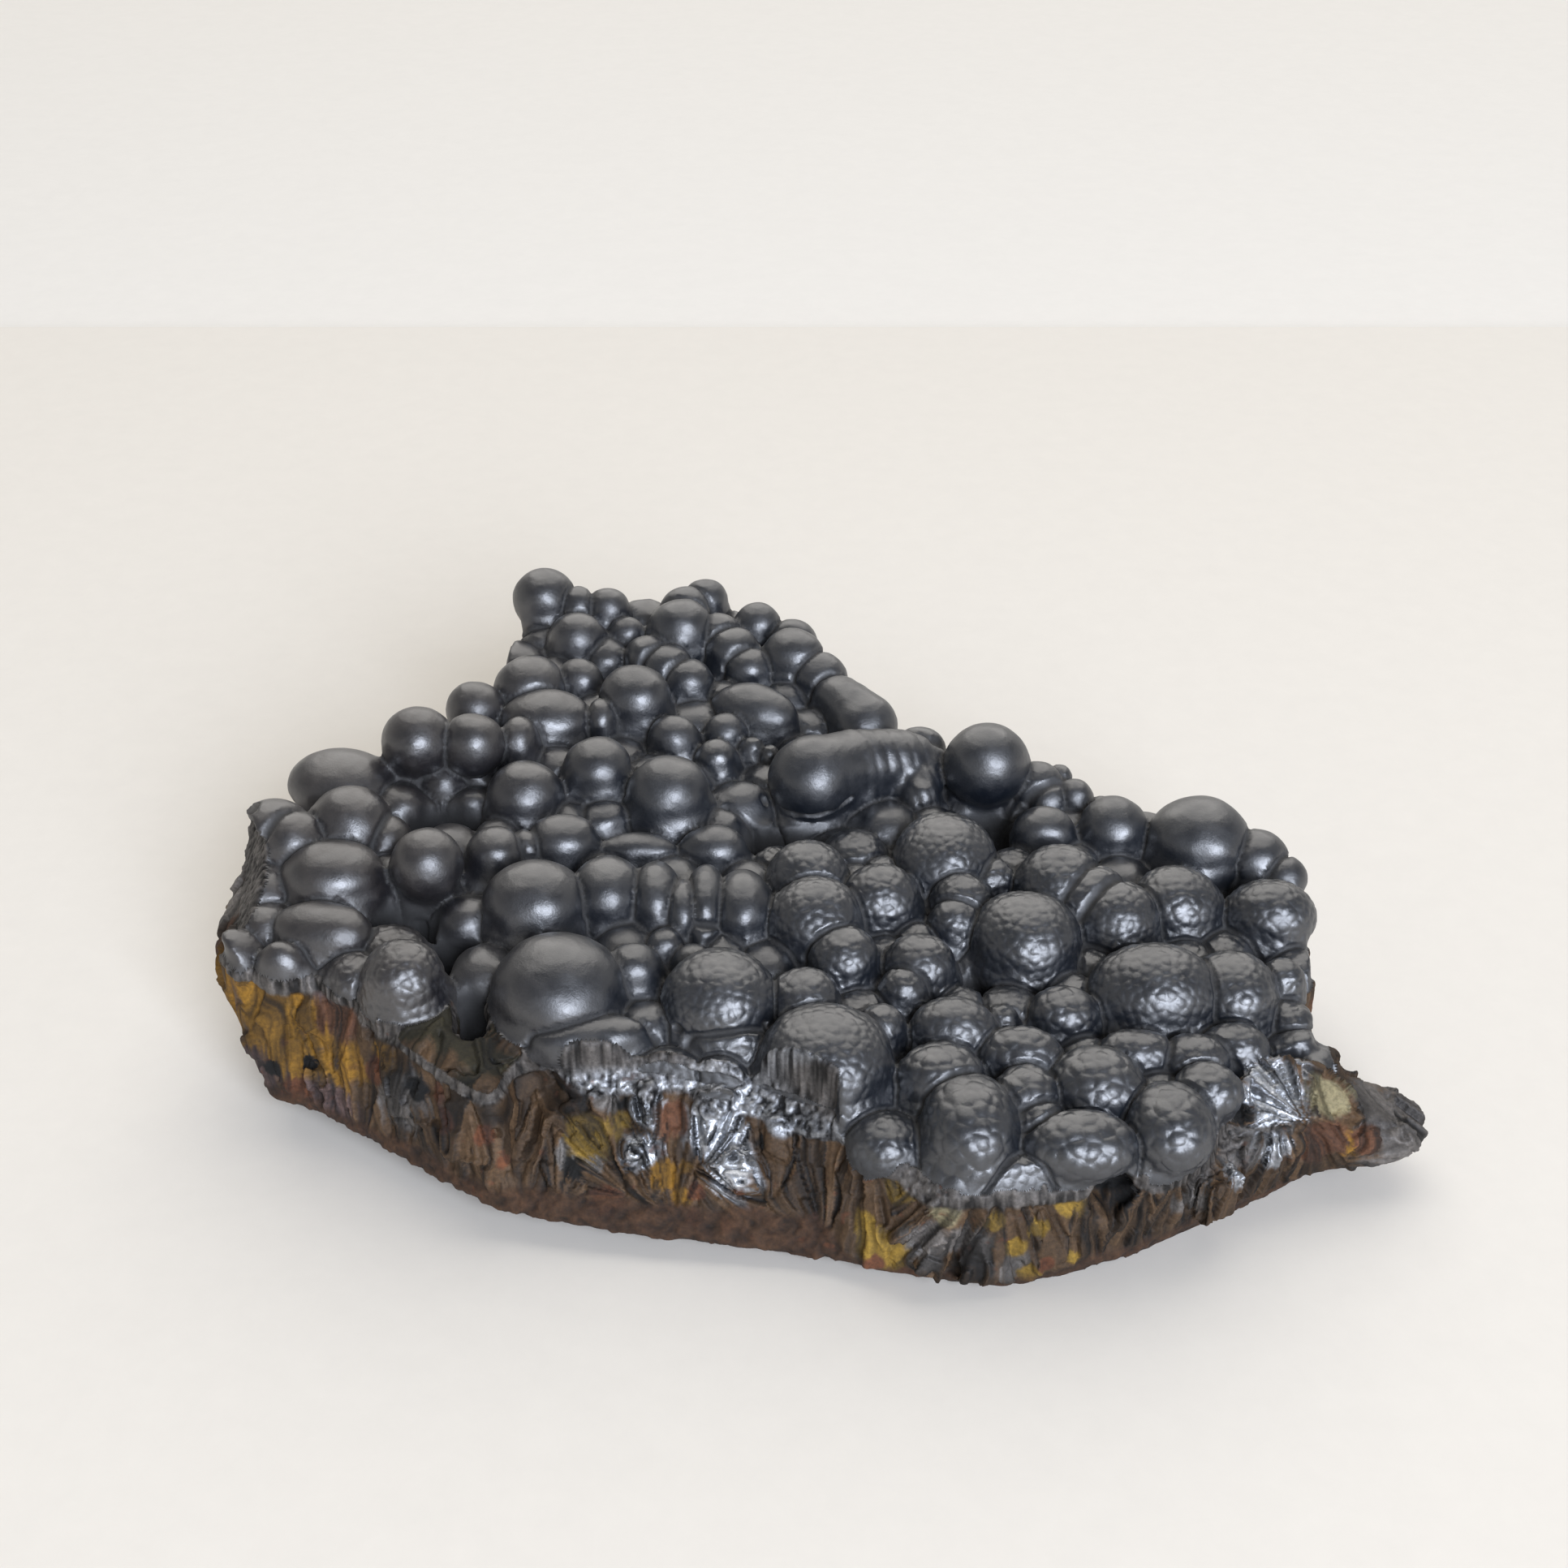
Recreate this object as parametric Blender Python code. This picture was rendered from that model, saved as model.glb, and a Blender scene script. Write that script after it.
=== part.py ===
"""A hand-sized piece of botryoidal hematite: a crust of rounded lumps on a broken slab.

The slab is a group of blocks with flat broken faces. Rounded lumps stand close together all
over its upper side, with dark hollows between some of them. It is all one piece of mineral,
so everything is fused into one solid, which rests on a flat patch of its underside.

Sizes are in millimetres. +X is to the right, +Y to the back and +Z up.
"""
import math

import bmesh
import bpy
from mathutils import Matrix, Vector

MM = 0.001

# The crust's level over the ground at the middle, and how it climbs towards the back and left.
CRUST_LEVEL = 18.0
CRUST_CLIMB_BACK = 0.12
CRUST_CLIMB_LEFT = 0.06

# The slab's upper face lies this far under the middles of the lumps.
GROUND_DROP = 1.5

# The solid is cut flat at the ground. The blocks reach this far under it.
UNDER_GROUND = -0.8

# Each lump widens downwards into a low skirt, which meets the skirts of its neighbours. A lump
# that rises higher than this stands free, without one.
SKIRT_SPREAD = 1.16
SKIRT_HEIGHT = 0.85
SKIRT_DROP = 0.45
FREE_RISE = 1.4

# How often the faces of a ball are divided.
BALL_STEPS = 3

# Angle in degrees from which an edge is drawn sharp.
SHARP_ANGLE = 40

# Cell sizes for fusing the slab and then the whole, and the number of faces at the end.
SLAB_CELL = 1.2
CELL = 0.7
FACES = 8700

# Blocks of the slab. Each is the hull of its points, as (x, y, z). Where z is left out, the
# point is on the slab's upper face.
BLOCKS = {
    "front": [
        (-19, -30), (-11, -29.5), (-1.5, -31.5), (4, -34), (-22, -20), (4, -20),
        (-24.5, -38.8, 2.6), (-19.5, -40, 2.4), (-14.5, -40.6, 2.2), (-9.5, -40.4, 2.2),
        (-5, -40.6, 1.8), (-2.4, -41.4, 1.5), (3, -42.9, 1.4), (-20, -34, 0.6),
        (2, -38, UNDER_GROUND), (-20, -18, UNDER_GROUND), (4, -18, UNDER_GROUND),
    ],
    "front right": [
        (3.5, -34), (6, -35.5), (10, -38.4), (13, -41.6), (15, -43.8, 10.4), (19.5, -42.4, 9.9),
        (23, -42.6, 9.2), (29, -41.4, 8.2), (34, -40.6, 8.4), (37.5, -38, 8.6), (39, -33.5),
        (3, -20), (40, -20), (3, -42.9, 1.4), (7.2, -43.7, 0.9), (13, -44.3, 0.3),
        (20.2, -44.7, UNDER_GROUND), (26, -42.9, UNDER_GROUND), (31.5, -40.6, UNDER_GROUND),
        (39.3, -36.2, UNDER_GROUND), (34, -20, 0.8), (4, -20, UNDER_GROUND),
    ],
    "right foot": [
        (38, -37.2, 7.5), (41, -35.4, 8.2), (45.8, -34.6, 7.2), (50.5, -31.6, 7.6), (50, -22, 8),
        (39.5, -36.2, UNDER_GROUND), (44.6, -33.1, UNDER_GROUND), (49, -30.8, 0.4),
        (49, -21, 1.6), (38, -22, 0.6), (38, -24, 9.5),
    ],
    "tail": [
        (47, -32.5, 1.6), (52, -31.8, 1.8), (57.4, -32.2, 3), (59.8, -30.4, 4.4), (60.2, -28, 5.4),
        (57.6, -26.4, 7), (52.6, -25.6, 9), (49, -28.4, 9.8), (47, -24, 9), (50, -33, 6.4),
        (57, -32.6, 5.6), (49, -22, 1.5), (57.5, -26.5, 2.6),
    ],
    "right": [
        (48.6, -26), (47.6, -21.4), (50, -16), (51.2, -11), (51.8, -5), (50.5, -1), (46, 2.4),
        (36, 5.4), (30, 10), (20, 13.6), (8, -26), (8, 14), (46, -27, 0.4),
        (46.5, -12, 2.4), (43, -3, 1.8), (32, 3, 0.9), (18, 7, 0.7),
        (14, -26, UNDER_GROUND), (14, -4, UNDER_GROUND), (50, -22, 5), (50, -6, 7), (44, 1.5, 7),
        (30, 8.5, 8),
    ],
    "middle": [
        (-26, -30), (-32, -6), (-32, 12), (-14, 24), (6, 24), (15, 14), (16, -26), (-10, -29),
        (-24, -33, 0.8), (-30, -6, 0.4), (-28, 8, 0.7), (-20, -8, UNDER_GROUND),
        (-12, 17, 0.5), (4, 16, 0.4), (13, 8, UNDER_GROUND), (-10, 8, UNDER_GROUND),
        (16, -26, UNDER_GROUND), (-18, -28, UNDER_GROUND),
    ],
    "back": [
        (-31, 18), (-29.5, 35), (-24, 38.5), (-12, 40), (-5, 38), (3, 30), (8, 20), (-22, 8),
        (-26.5, 30, 10), (-22, 34, 9), (-9, 35, 9), (0, 29, 8), (6, 20, 7), (-28, 16, 8),
        (-23, 24, 2.2), (-10, 27, 2.6), (0, 22, 1.6), (-24, 10, 0.8), (4, 14, 0.6),
        (-33, 12), (-32, 12, 3),
    ],
    "left": [
        (-53.6, -3), (-54.4, -9), (-53.8, -14), (-52.4, -18.8), (-46, -21.8), (-38, -19), (-29, -8),
        (-29, 10), (-35, 15), (-44, 8), (-55.2, -9, 14), (-54.6, -5, 12), (-54, -17, 13),
        (-50.4, -23.2, 9.5), (-49, -24, 3.4), (-45.5, -25, 2.8), (-51, -12, 3.2), (-46, -1, 3.6),
        (-38, 6, 4), (-25, 9, 0.6), (-26, -20, 0.6), (-40, -17, 1.4), (-25, -18, 12),
        (-44, 5, 11), (-36, 12, 12), (-25, 14), (-25, 0),
    ],
    "left front": [
        (-42.6, -18), (-39.6, -20), (-38.4, -23.4), (-36.8, -25.8), (-32, -28.8), (-28.8, -33),
        (-26, -34.2), (-24.5, -30), (-29, -18), (-45.4, -24.9, 3), (-42.5, -24.7, 3.2),
        (-37.8, -26.4, 3.2), (-33, -31.2, 3), (-29.5, -34.2, 2.8), (-27.7, -37, 2.6),
        (-24.5, -38.8, 2.6), (-22, -30, 0.6), (-30, -20, 0.8), (-22, -20, 0.4),
        (-43.5, -23.5, 11),
    ],
}

# Hollows in the slab, as (x, y, rise over the crust's level, half width, depth and height).
HOLLOWS = {
    "under the left shoulder": (-34.5, 1.5, -3.2, 4.6, 2.6, 2.8),
    "valley, top": (-36.5, -13.5, -3.4, 3.6, 3.2, 3.6),
    "valley, middle": (-31.5, -17.5, -3.8, 2.8, 3.4, 4.0),
    "valley, foot": (-28.6, -24.5, -3.4, 2.2, 4.0, 3.6),
    "valley, mouth": (-26.8, -30.5, -2.8, 1.8, 3.4, 2.4),
    "under the ringed lump": (-0.5, 0.5, -3.0, 5.4, 2.6, 2.6),
    "under the dark ball": (20.5, 3.6, -3.0, 3.8, 3.4, 3.0),
    "beside the front ball": (18.8, -18.4, -2.4, 1.8, 3.0, 2.4),
    "behind the horn": (-19.0, 27.0, -2.6, 3.0, 2.6, 2.2),
    "black hole": (29.5, -43.0, -2.0, 3.4, 3.4, 2.2),
    "notch by the fan": (41.2, -36.4, -1.4, 1.1, 2.6, 1.4),
}

# Shallow dishes in the underside, as (x, y, half width, half depth and depth).
DISHES = {
    "front left": (-12, -24, 10, 7, 1.3),
    "middle": (-2, -6, 9, 6, 1.0),
    "right": (22, -16, 9, 8, 1.4),
    "front": (14, -36, 7, 4, 0.9),
    "left": (-18, 0, 7, 8, 1.1),
}

# Lumps of the crust, as (x, y, rise of the middle over the crust's level, half width). After
# these may come half depth and half height, and the turn about +Z in degrees.
LUMPS = {
    "left shoulder": [
        (-45.5, 5.4, -1.0, 5.1, 4.2, 3.1), (-37.7, 8.6, 2.0, 3.75), (-32.1, 8.6, 2.0, 3.3),
        (-27.6, 11.0, 0.5, 2.0, 2.6, 3.0), (-33.0, 17.2, 0.0, 2.9), (-35.4, 7.2, -2.0, 2.1),
        (-32.0, 4.5, -2.0, 1.5),
    ],
    "left end": [
        (-43.0, -2.5, 0.0, 4.0), (-39.5, -3.5, -0.5, 2.5), (-48.1, -5.8, 0.0, 3.3, 3.3, 3.6),
        (-50.4, -4.2, 0.0, 3.6), (-43.7, -9.8, 0.0, 4.7, 3.8, 3.3),
        (-43.6, -16.6, -0.5, 4.6, 2.8, 2.4, -10), (-46.8, -20.2, -2.6, 2.4, 1.8, 3.4),
        (-50.5, -10.5, -1.6, 3.4, 3.2, 2.6),
    ],
    "valley side": [
        (-34.5, -9.4, 1.5, 3.65), (-28.5, -5.5, 0.0, 2.7), (-35.0, -23.2, 0.0, 3.6),
        (-23.9, -13.0, 0.5, 4.6, 4.4, 4.2),
    ],
    "horn": [
        (-27.3, 36.7, 1.0, 3.35), (-23.3, 35.5, 0.5, 2.2, 2.2, 2.8), (-20.0, 35.8, 0.8, 2.4),
        (-17.7, 32.5, 0.0, 1.8), (-23.2, 30.5, 0.0, 3.1), (-20.0, 29.0, -1.6, 2.6),
    ],
    "second peak": [
        (-11.6, 32.0, 1.0, 3.5), (-11.3, 35.6, 1.0, 2.8), (-9.0, 38.2, 0.8, 2.5),
        (-3.0, 34.2, 0.8, 2.5), (1.0, 32.4, 0.0, 2.6), (1.0, 28.3, 0.8, 3.2), (4.0, 25.8, 0.0, 2.9),
        (-7.5, 32.0, 0.4, 2.7), (-5.7, 29.3, 0.4, 2.8), (-3.9, 26.8, 0.0, 2.5),
        (-15.0, 28.0, 0.0, 2.5), (-12.8, 26.0, 0.0, 2.8), (-10.5, 24.0, 0.0, 2.6),
    ],
    "back slope": [
        (-27.5, 21.2, 0.0, 3.6), (-22.2, 23.2, 0.0, 2.4), (-25.2, 15.9, 0.0, 4.5, 3.6, 3.3),
        (-19.3, 16.0, 0.0, 1.7, 2.4, 2.8), (-16.0, 18.9, 1.0, 3.65), (-11.6, 13.8, 0.0, 2.6),
        (-6.2, 15.5, 0.0, 2.1), (-7.0, 11.0, 0.0, 2.1), (-3.3, 13.0, 0.0, 1.3), (-1.6, 12.2, 0.0, 1.1),
        (-3.2, 19.0, 0.2, 4.6, 3.1, 3.0, -25),
    ],
    "middle left": [
        (-19.2, 7.2, 0.8, 3.4), (-18.4, 1.8, -1.0, 2.4, 2.0, 1.6), (-26.4, 3.5, 0.0, 3.6),
        (-11.7, 3.8, 0.8, 4.0), (-22.0, -3.0, 0.0, 3.4, 3.0, 2.6), (-25.5, -4.3, 0.0, 1.8),
        (-14.6, -3.0, -0.5, 3.5, 1.8, 1.6), (-7.0, -2.5, -0.5, 3.2, 2.5, 2.2),
    ],
    "ringed lump": [
        (3.0, 6.6, 1.5, 4.6), (7.2, 9.3, 1.4, 3.8), (11.6, 11.0, 0.9, 3.3), (14.6, 12.2, 0.0, 2.7),
        (14.2, 6.8, 0.0, 1.8), (8.6, 18.0, 0.0, 3.4), (6.0, 22.0, 0.0, 2.8), (14.4, 13.6, 0.0, 2.8),
    ],
    "dark ball": [
        (21.1, 9.5, 2.0, 4.5), (26.6, 9.2, -0.4, 2.8), (27.4, 7.8, -0.6, 2.4), (29.0, 10.8, 0.0, 1.4),
        (30.2, 7.8, 0.0, 1.9), (26.5, 2.0, 0.0, 3.0, 2.5, 2.5),
    ],
    "back right": [
        (33.7, 3.0, 0.0, 3.3), (42.2, 0.8, 1.0, 4.8, 4.6, 4.1), (47.7, -0.9, 0.0, 3.3),
        (50.2, -3.2, 0.0, 2.3), (38.7, -8.0, 0.0, 4.2, 4.0, 3.7), (47.8, -9.0, 0.0, 4.2, 3.8, 3.6),
        (47.4, -17.8, 0.0, 2.1),
    ],
    "middle right": [
        (16.1, -2.7, 0.0, 4.7, 5.0, 4.1, -20), (17.3, -9.0, 0.0, 2.7), (16.5, -12.0, 0.0, 2.3),
        (20.5, -5.0, -0.5, 2.2), (2.4, -6.9, 0.0, 3.8), (3.0, -13.0, 0.0, 4.3), (9.4, -9.6, 0.0, 3.7),
        (5.6, -17.8, 0.0, 3.1), (12.9, -18.2, 0.0, 3.1), (11.1, -21.5, 0.0, 2.1),
    ],
    "long front lump": [
        (23.2, -14.0, 0.0, 4.9, 4.9, 4.4), (27.3, -6.3, 0.0, 4.2), (30.2, -8.6, 0.0, 3.9),
        (32.3, -10.7, 0.0, 4.0),
    ],
    "row of narrow lumps": [
        (-17.0, -10.5, 0.0, 3.1, 4.0, 3.4), (-12.4, -10.8, 0.0, 2.1, 4.0, 3.2),
        (-9.6, -12.3, 0.0, 1.3, 2.8, 2.6), (-7.8, -11.0, 0.0, 1.8, 4.2, 3.2), (-7.7, -15.2, 0.0, 1.2),
        (-4.0, -11.5, 0.0, 2.5, 4.0, 3.2), (-11.3, -17.0, 0.0, 1.6),
    ],
    "front left": [
        (-20.8, -23.4, 0.0, 5.7, 5.6, 4.8), (-17.6, -28.8, -0.5, 5.0, 2.2, 1.9, 8),
        (-14.0, -20.5, 0.0, 2.5), (-5.9, -23.8, 0.0, 5.0, 5.0, 4.5), (-8.6, -19.0, -0.2, 1.8),
        (-5.2, -28.4, -0.8, 3.4, 1.6, 2.0),
    ],
    "front middle": [
        (3.8, -30.8, 0.0, 5.6, 5.4, 4.7), (1.8, -23.7, 0.0, 3.2), (8.8, -26.5, 0.0, 2.2),
        (15.5, -26.2, 0.0, 3.7, 3.0, 2.9), (20.2, -24.5, 0.0, 1.4), (14.0, -32.0, 0.0, 3.6, 3.2, 2.9),
        (16.3, -37.3, 0.0, 4.0, 4.8, 3.7), (21.5, -29.0, 0.0, 3.6, 2.6, 2.6),
        (21.5, -33.8, 0.0, 2.7, 2.8, 2.6), (22.6, -36.8, -0.2, 2.1), (26.0, -23.5, 0.0, 3.0, 2.6, 2.4),
    ],
    "front right": [
        (34.7, -20.3, 0.0, 5.8, 4.8, 4.6), (42.3, -19.6, 0.0, 3.9, 4.0, 3.6),
        (41.5, -26.3, -0.5, 3.0, 2.2, 2.2), (32.3, -28.0, 0.0, 3.4, 2.2, 2.1),
        (37.2, -28.3, 0.0, 3.3, 2.2, 2.0), (28.0, -32.3, 0.0, 4.0, 3.6, 3.4),
        (34.0, -36.8, 0.0, 3.6, 4.2, 3.6), (38.0, -32.5, 0.0, 3.0, 2.6, 2.6),
        (25.8, -39.4, 0.0, 4.6, 3.0, 3.0),
    ],
}

# A ball that is broken through its middle, with the fan of its crystals on the broken face:
# its middle and radius, and the ways that the broken face and the break under it look.
FAN_MIDDLE = (46.2, -33.4, 9.1)
FAN_RADIUS = 6.4
FAN_FACE = (0.10, -0.50, 0.86)
FAN_FOOT = (0.10, -0.90, -0.42)

# Bundles of crystals that stand out of the broken sides. Each is the outline of its outer face
# on the side of the slab.
BUNDLES = {
    "silver fan": [(-6.9, -35.9, 7.5), (-3.9, -32.2, 11.7), (-5.9, -31.8, 11.9), (-8.1, -31.9, 11.5)],
    "silver foot": [
        (-7.0, -36.6, 6.9), (-4.2, -38.6, 5.2), (-1.2, -38.4, 5.4), (-2.0, -36.6, 7.0),
        (-4.4, -35.4, 8.2),
    ],
    "gold fan": [(-15.7, -35.3, 6.7), (-17.7, -31.4, 10.5), (-19.2, -31.4, 10.2), (-20.1, -31.8, 9.7)],
    "grey block": [(-16.4, -33.0, 9.0), (-15.6, -32.0, 10.2), (-15.9, -31.2, 11.0), (-17.3, -31.2, 10.8)],
    "plume": [(-11.7, -34.4, 8.3), (-11.4, -31.0, 11.9), (-13.3, -30.9, 11.8)],
    "plume foot": [(-14.3, -35.6, 6.6), (-12.0, -35.8, 6.8), (-12.2, -34.2, 8.2), (-14.4, -34.2, 7.9)],
    "dark columns": [(-1.6, -36.4, 7.6), (0.6, -37.0, 7.0), (0.2, -34.0, 10.2), (-1.6, -33.6, 10.4)],
    "left chunk": [
        (-42.4, -23.2, 10.2), (-38.6, -23.2, 12.2), (-40.4, -20.2, 14.6), (-44.6, -19.6, 14.6),
        (-45.4, -22.2, 11.4),
    ],
    "ochre block": [(-49.8, -22.6, 5.0), (-45.5, -22.5, 6.0), (-46.5, -20.5, 9.5), (-50.8, -19.0, 8.5)],
    "ochre foot": [(-44.6, -24.8, 5.4), (-40.2, -25.2, 6.0), (-40.0, -23.8, 8.0), (-44.6, -23.5, 7.4)],
    "left corner": [(-52.6, -16.0, 11.2), (-50.4, -18.8, 11.0), (-49.5, -16.8, 15.0), (-52.2, -13.0, 15.2)],
    "left fibres": [(-35.4, -29.6, 7.0), (-31.0, -32.4, 8.0), (-32.6, -28.6, 12.6), (-36.0, -26.8, 12.6)],
    "valley fibres": [(-29.6, -34.4, 6.0), (-25.8, -36.6, 6.8), (-27.0, -33.4, 11.6), (-30.4, -31.0, 12.2)],
    "gold strip": [(8.3, -43.6, 5.0), (9.6, -43.6, 4.4), (13.6, -42.2, 8.0), (13.0, -42.0, 8.9)],
    "right cone": [(15.1, -42.1, 8.0), (10.6, -44.0, 2.7), (13.1, -44.1, 0.9)],
    "wide cone": [(17.6, -42.2, 6.6), (14.2, -44.0, 0.8), (20.4, -43.4, 0.4)],
    "front cone": [(21.6, -41.8, 8.2), (21.6, -43.2, 0.8), (25.6, -42.2, 0.8)],
    "facet": [(36.4, -38.8, 2.6), (39.6, -36.8, 2.6), (40.0, -36.8, 7.4), (36.6, -38.8, 7.6)],
}

# How far the bundles stand out and reach into the slab, and the size of their outer faces as
# a share of their outlines.
BUNDLE_RISE = 1.8
BUNDLE_ROOT = 2.5
BUNDLE_TAPER = 0.9

# The space in front of the middle of the slab, where the crust broke off in one clean break.
FRONT_BREAK = [
    (-26, -35, 14.5), (-19, -31, 13.5), (-11, -30.4, 13), (-1.5, -32.3, 12.4), (4.5, -35.4, 12.6),
    (-26, -35, 24), (-19, -31, 24), (-11, -30.4, 24), (-1.5, -32.3, 24), (4.5, -35.4, 24),
    (-26, -44, 4), (-11, -44, 4), (4.5, -46, 4), (-26, -50, 24), (4.5, -50, 24),
]


def crust_level(x, y):
    """Height of the crust over the ground."""
    return CRUST_LEVEL + CRUST_CLIMB_BACK * y - CRUST_CLIMB_LEFT * x


def block_points(points):
    """The points of one block, with the heights filled in."""
    filled = []
    for point in points:
        if len(point) == 2:
            x, y = point
            point = (x, y, crust_level(x, y) - GROUND_DROP)
        filled.append(Vector(point))
    return filled


def add_hull(bm, points):
    """Adds the convex hull of the points to bm."""
    hull = bmesh.new()
    for point in points:
        hull.verts.new(point)
    result = bmesh.ops.convex_hull(hull, input=hull.verts)
    loose = [v for v in result["geom_interior"] if isinstance(v, bmesh.types.BMVert)]
    bmesh.ops.delete(hull, geom=list(set(loose)), context="VERTS")
    bmesh.ops.recalc_face_normals(hull, faces=hull.faces)
    part = bpy.data.meshes.new("hull")
    hull.to_mesh(part)
    hull.free()
    bm.from_mesh(part)
    bpy.data.meshes.remove(part)


def add_ball(bm, middle, half_sizes, turn=0.0):
    """Adds an ellipsoid to bm."""
    place = Matrix.Translation(middle) @ Matrix.Rotation(math.radians(turn), 4, "Z")
    place = place @ Matrix.Diagonal((*half_sizes, 1.0))
    bmesh.ops.create_icosphere(bm, subdivisions=BALL_STEPS, radius=1.0, matrix=place)


def half_sizes_of(sizes):
    """Half width, depth and height, from a list that may give only the first."""
    return sizes[:3] if len(sizes) >= 3 else (sizes[0],) * 3


def new_object(name, bm):
    """A mesh object made from bm, which is freed."""
    mesh = bpy.data.meshes.new(name)
    bm.to_mesh(mesh)
    bm.free()
    obj = bpy.data.objects.new(name, mesh)
    bpy.context.scene.collection.objects.link(obj)
    return obj


def bake_modifiers(obj):
    """Puts the modified shape in the object's own mesh and takes the modifiers off."""
    shape = obj.evaluated_get(bpy.context.evaluated_depsgraph_get())
    mesh = bpy.data.meshes.new_from_object(shape)
    obj.modifiers.clear()
    old = obj.data
    obj.data = mesh
    bpy.data.meshes.remove(old)


def fuse(obj, cell):
    """Fuses the shapes in the object into one body."""
    remesh = obj.modifiers.new("fuse", "REMESH")
    remesh.mode = "VOXEL"
    remesh.voxel_size = cell
    bake_modifiers(obj)


def combine(obj, other, operation):
    """Adds the other object to this one or takes it away, and removes the other."""
    other.hide_render = True
    other.display_type = "WIRE"
    step = obj.modifiers.new("combine", "BOOLEAN")
    step.operation = operation
    step.solver = "EXACT"
    step.object = other
    bake_modifiers(obj)
    bpy.data.objects.remove(other)


def cut_hollows(obj):
    """Cuts the hollows out of the slab."""
    bm = bmesh.new()
    for x, y, rise, *sizes in HOLLOWS.values():
        add_ball(bm, (x, y, crust_level(x, y) + rise), sizes)
    for x, y, *sizes in DISHES.values():
        add_ball(bm, (x, y, 0), sizes)
    cutter = new_object("hollows", bm)
    fuse(cutter, CELL)
    combine(obj, cutter, "DIFFERENCE")


def break_front(obj):
    """Breaks the crust off along the front of the slab."""
    bm = bmesh.new()
    add_hull(bm, [Vector(point) for point in FRONT_BREAK])
    combine(obj, new_object("front break", bm), "DIFFERENCE")


def add_bundles(obj):
    """Sets the bundles of crystals on the broken sides."""
    for name, outline in BUNDLES.items():
        outline = [Vector(point) for point in outline]
        middle = sum(outline, Vector()) / len(outline)
        out = (outline[1] - outline[0]).cross(outline[-1] - outline[0]).normalized()
        outer = [middle + (point - middle) * BUNDLE_TAPER + out * BUNDLE_RISE for point in outline]
        inner = [point - out * BUNDLE_ROOT for point in outline]
        bm = bmesh.new()
        add_hull(bm, outer + inner)
        combine(obj, new_object(name, bm), "UNION")


def build_slab():
    """The broken slab under the crust."""
    bm = bmesh.new()
    for points in BLOCKS.values():
        add_hull(bm, block_points(points))
    slab = new_object("hematite_specimen", bm)
    fuse(slab, SLAB_CELL)
    cut_hollows(slab)
    return slab


def grow_lumps(obj):
    """Adds the lumps to the slab and fuses them."""
    bm = bmesh.new()
    bm.from_mesh(obj.data)
    for lumps in LUMPS.values():
        for x, y, rise, *sizes in lumps:
            turn = sizes[3] if len(sizes) > 3 else 0.0
            wide, deep, tall = half_sizes_of(sizes)
            z = crust_level(x, y) + rise
            add_ball(bm, (x, y, z), (wide, deep, tall), turn)
            if rise < FREE_RISE:
                skirt = (wide * SKIRT_SPREAD, deep * SKIRT_SPREAD, tall * SKIRT_HEIGHT)
                add_ball(bm, (x, y, z - tall * SKIRT_DROP), skirt, turn)
    bm.to_mesh(obj.data)
    bm.free()
    fuse(obj, CELL)


def add_fan(obj):
    """Adds the ball that is broken through its middle."""
    ball = bmesh.new()
    add_ball(ball, FAN_MIDDLE, (FAN_RADIUS,) * 3)
    for way in (FAN_FACE, FAN_FOOT):
        everything = ball.verts[:] + ball.edges[:] + ball.faces[:]
        normal = Vector(way).normalized()
        cut = bmesh.ops.bisect_plane(
            ball, geom=everything, plane_co=FAN_MIDDLE, plane_no=normal, clear_outer=True)
        rim = [e for e in cut["geom_cut"] if isinstance(e, bmesh.types.BMEdge)]
        bmesh.ops.contextual_create(ball, geom=rim)
    combine(obj, new_object("fan", ball), "UNION")


def thin_out(obj):
    """Brings the solid down to its number of faces."""
    bm = bmesh.new()
    bm.from_mesh(obj.data)
    bmesh.ops.triangulate(bm, faces=bm.faces)
    count = len(bm.faces)
    bm.to_mesh(obj.data)
    bm.free()
    thin = obj.modifiers.new("thin out", "DECIMATE")
    thin.ratio = FACES / count
    bake_modifiers(obj)


def keep_outer_skin(obj):
    """Removes the skins of pockets closed inside the solid, which leaves only its outer skin."""
    bm = bmesh.new()
    bm.from_mesh(obj.data)
    left = set(bm.verts)
    skins = []
    while left:
        skin = set()
        front = [left.pop()]
        while front:
            vert = front.pop()
            skin.add(vert)
            for edge in vert.link_edges:
                other = edge.other_vert(vert)
                if other in left:
                    left.remove(other)
                    front.append(other)
        skins.append(skin)
    skins.sort(key=len)
    for skin in skins[:-1]:
        bmesh.ops.delete(bm, geom=list(skin), context="VERTS")
    bm.to_mesh(obj.data)
    bm.free()


def cut_flat(obj):
    """Cuts the solid flat at the ground, which leaves the patch that it rests on."""
    bm = bmesh.new()
    bm.from_mesh(obj.data)
    everything = bm.verts[:] + bm.edges[:] + bm.faces[:]
    cut = bmesh.ops.bisect_plane(
        bm, geom=everything, plane_co=(0, 0, 0), plane_no=(0, 0, -1), clear_outer=True)
    rim = [e for e in cut["geom_cut"] if isinstance(e, bmesh.types.BMEdge)]
    bmesh.ops.holes_fill(bm, edges=rim)
    bmesh.ops.triangulate(bm, faces=bm.faces)
    bm.to_mesh(obj.data)
    bm.free()


def footprint_middle(obj):
    """The middle of the object's box, on the ground."""
    xs = [v.co.x for v in obj.data.vertices]
    ys = [v.co.y for v in obj.data.vertices]
    return Vector(((min(xs) + max(xs)) / 2, (min(ys) + max(ys)) / 2, 0))


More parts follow.
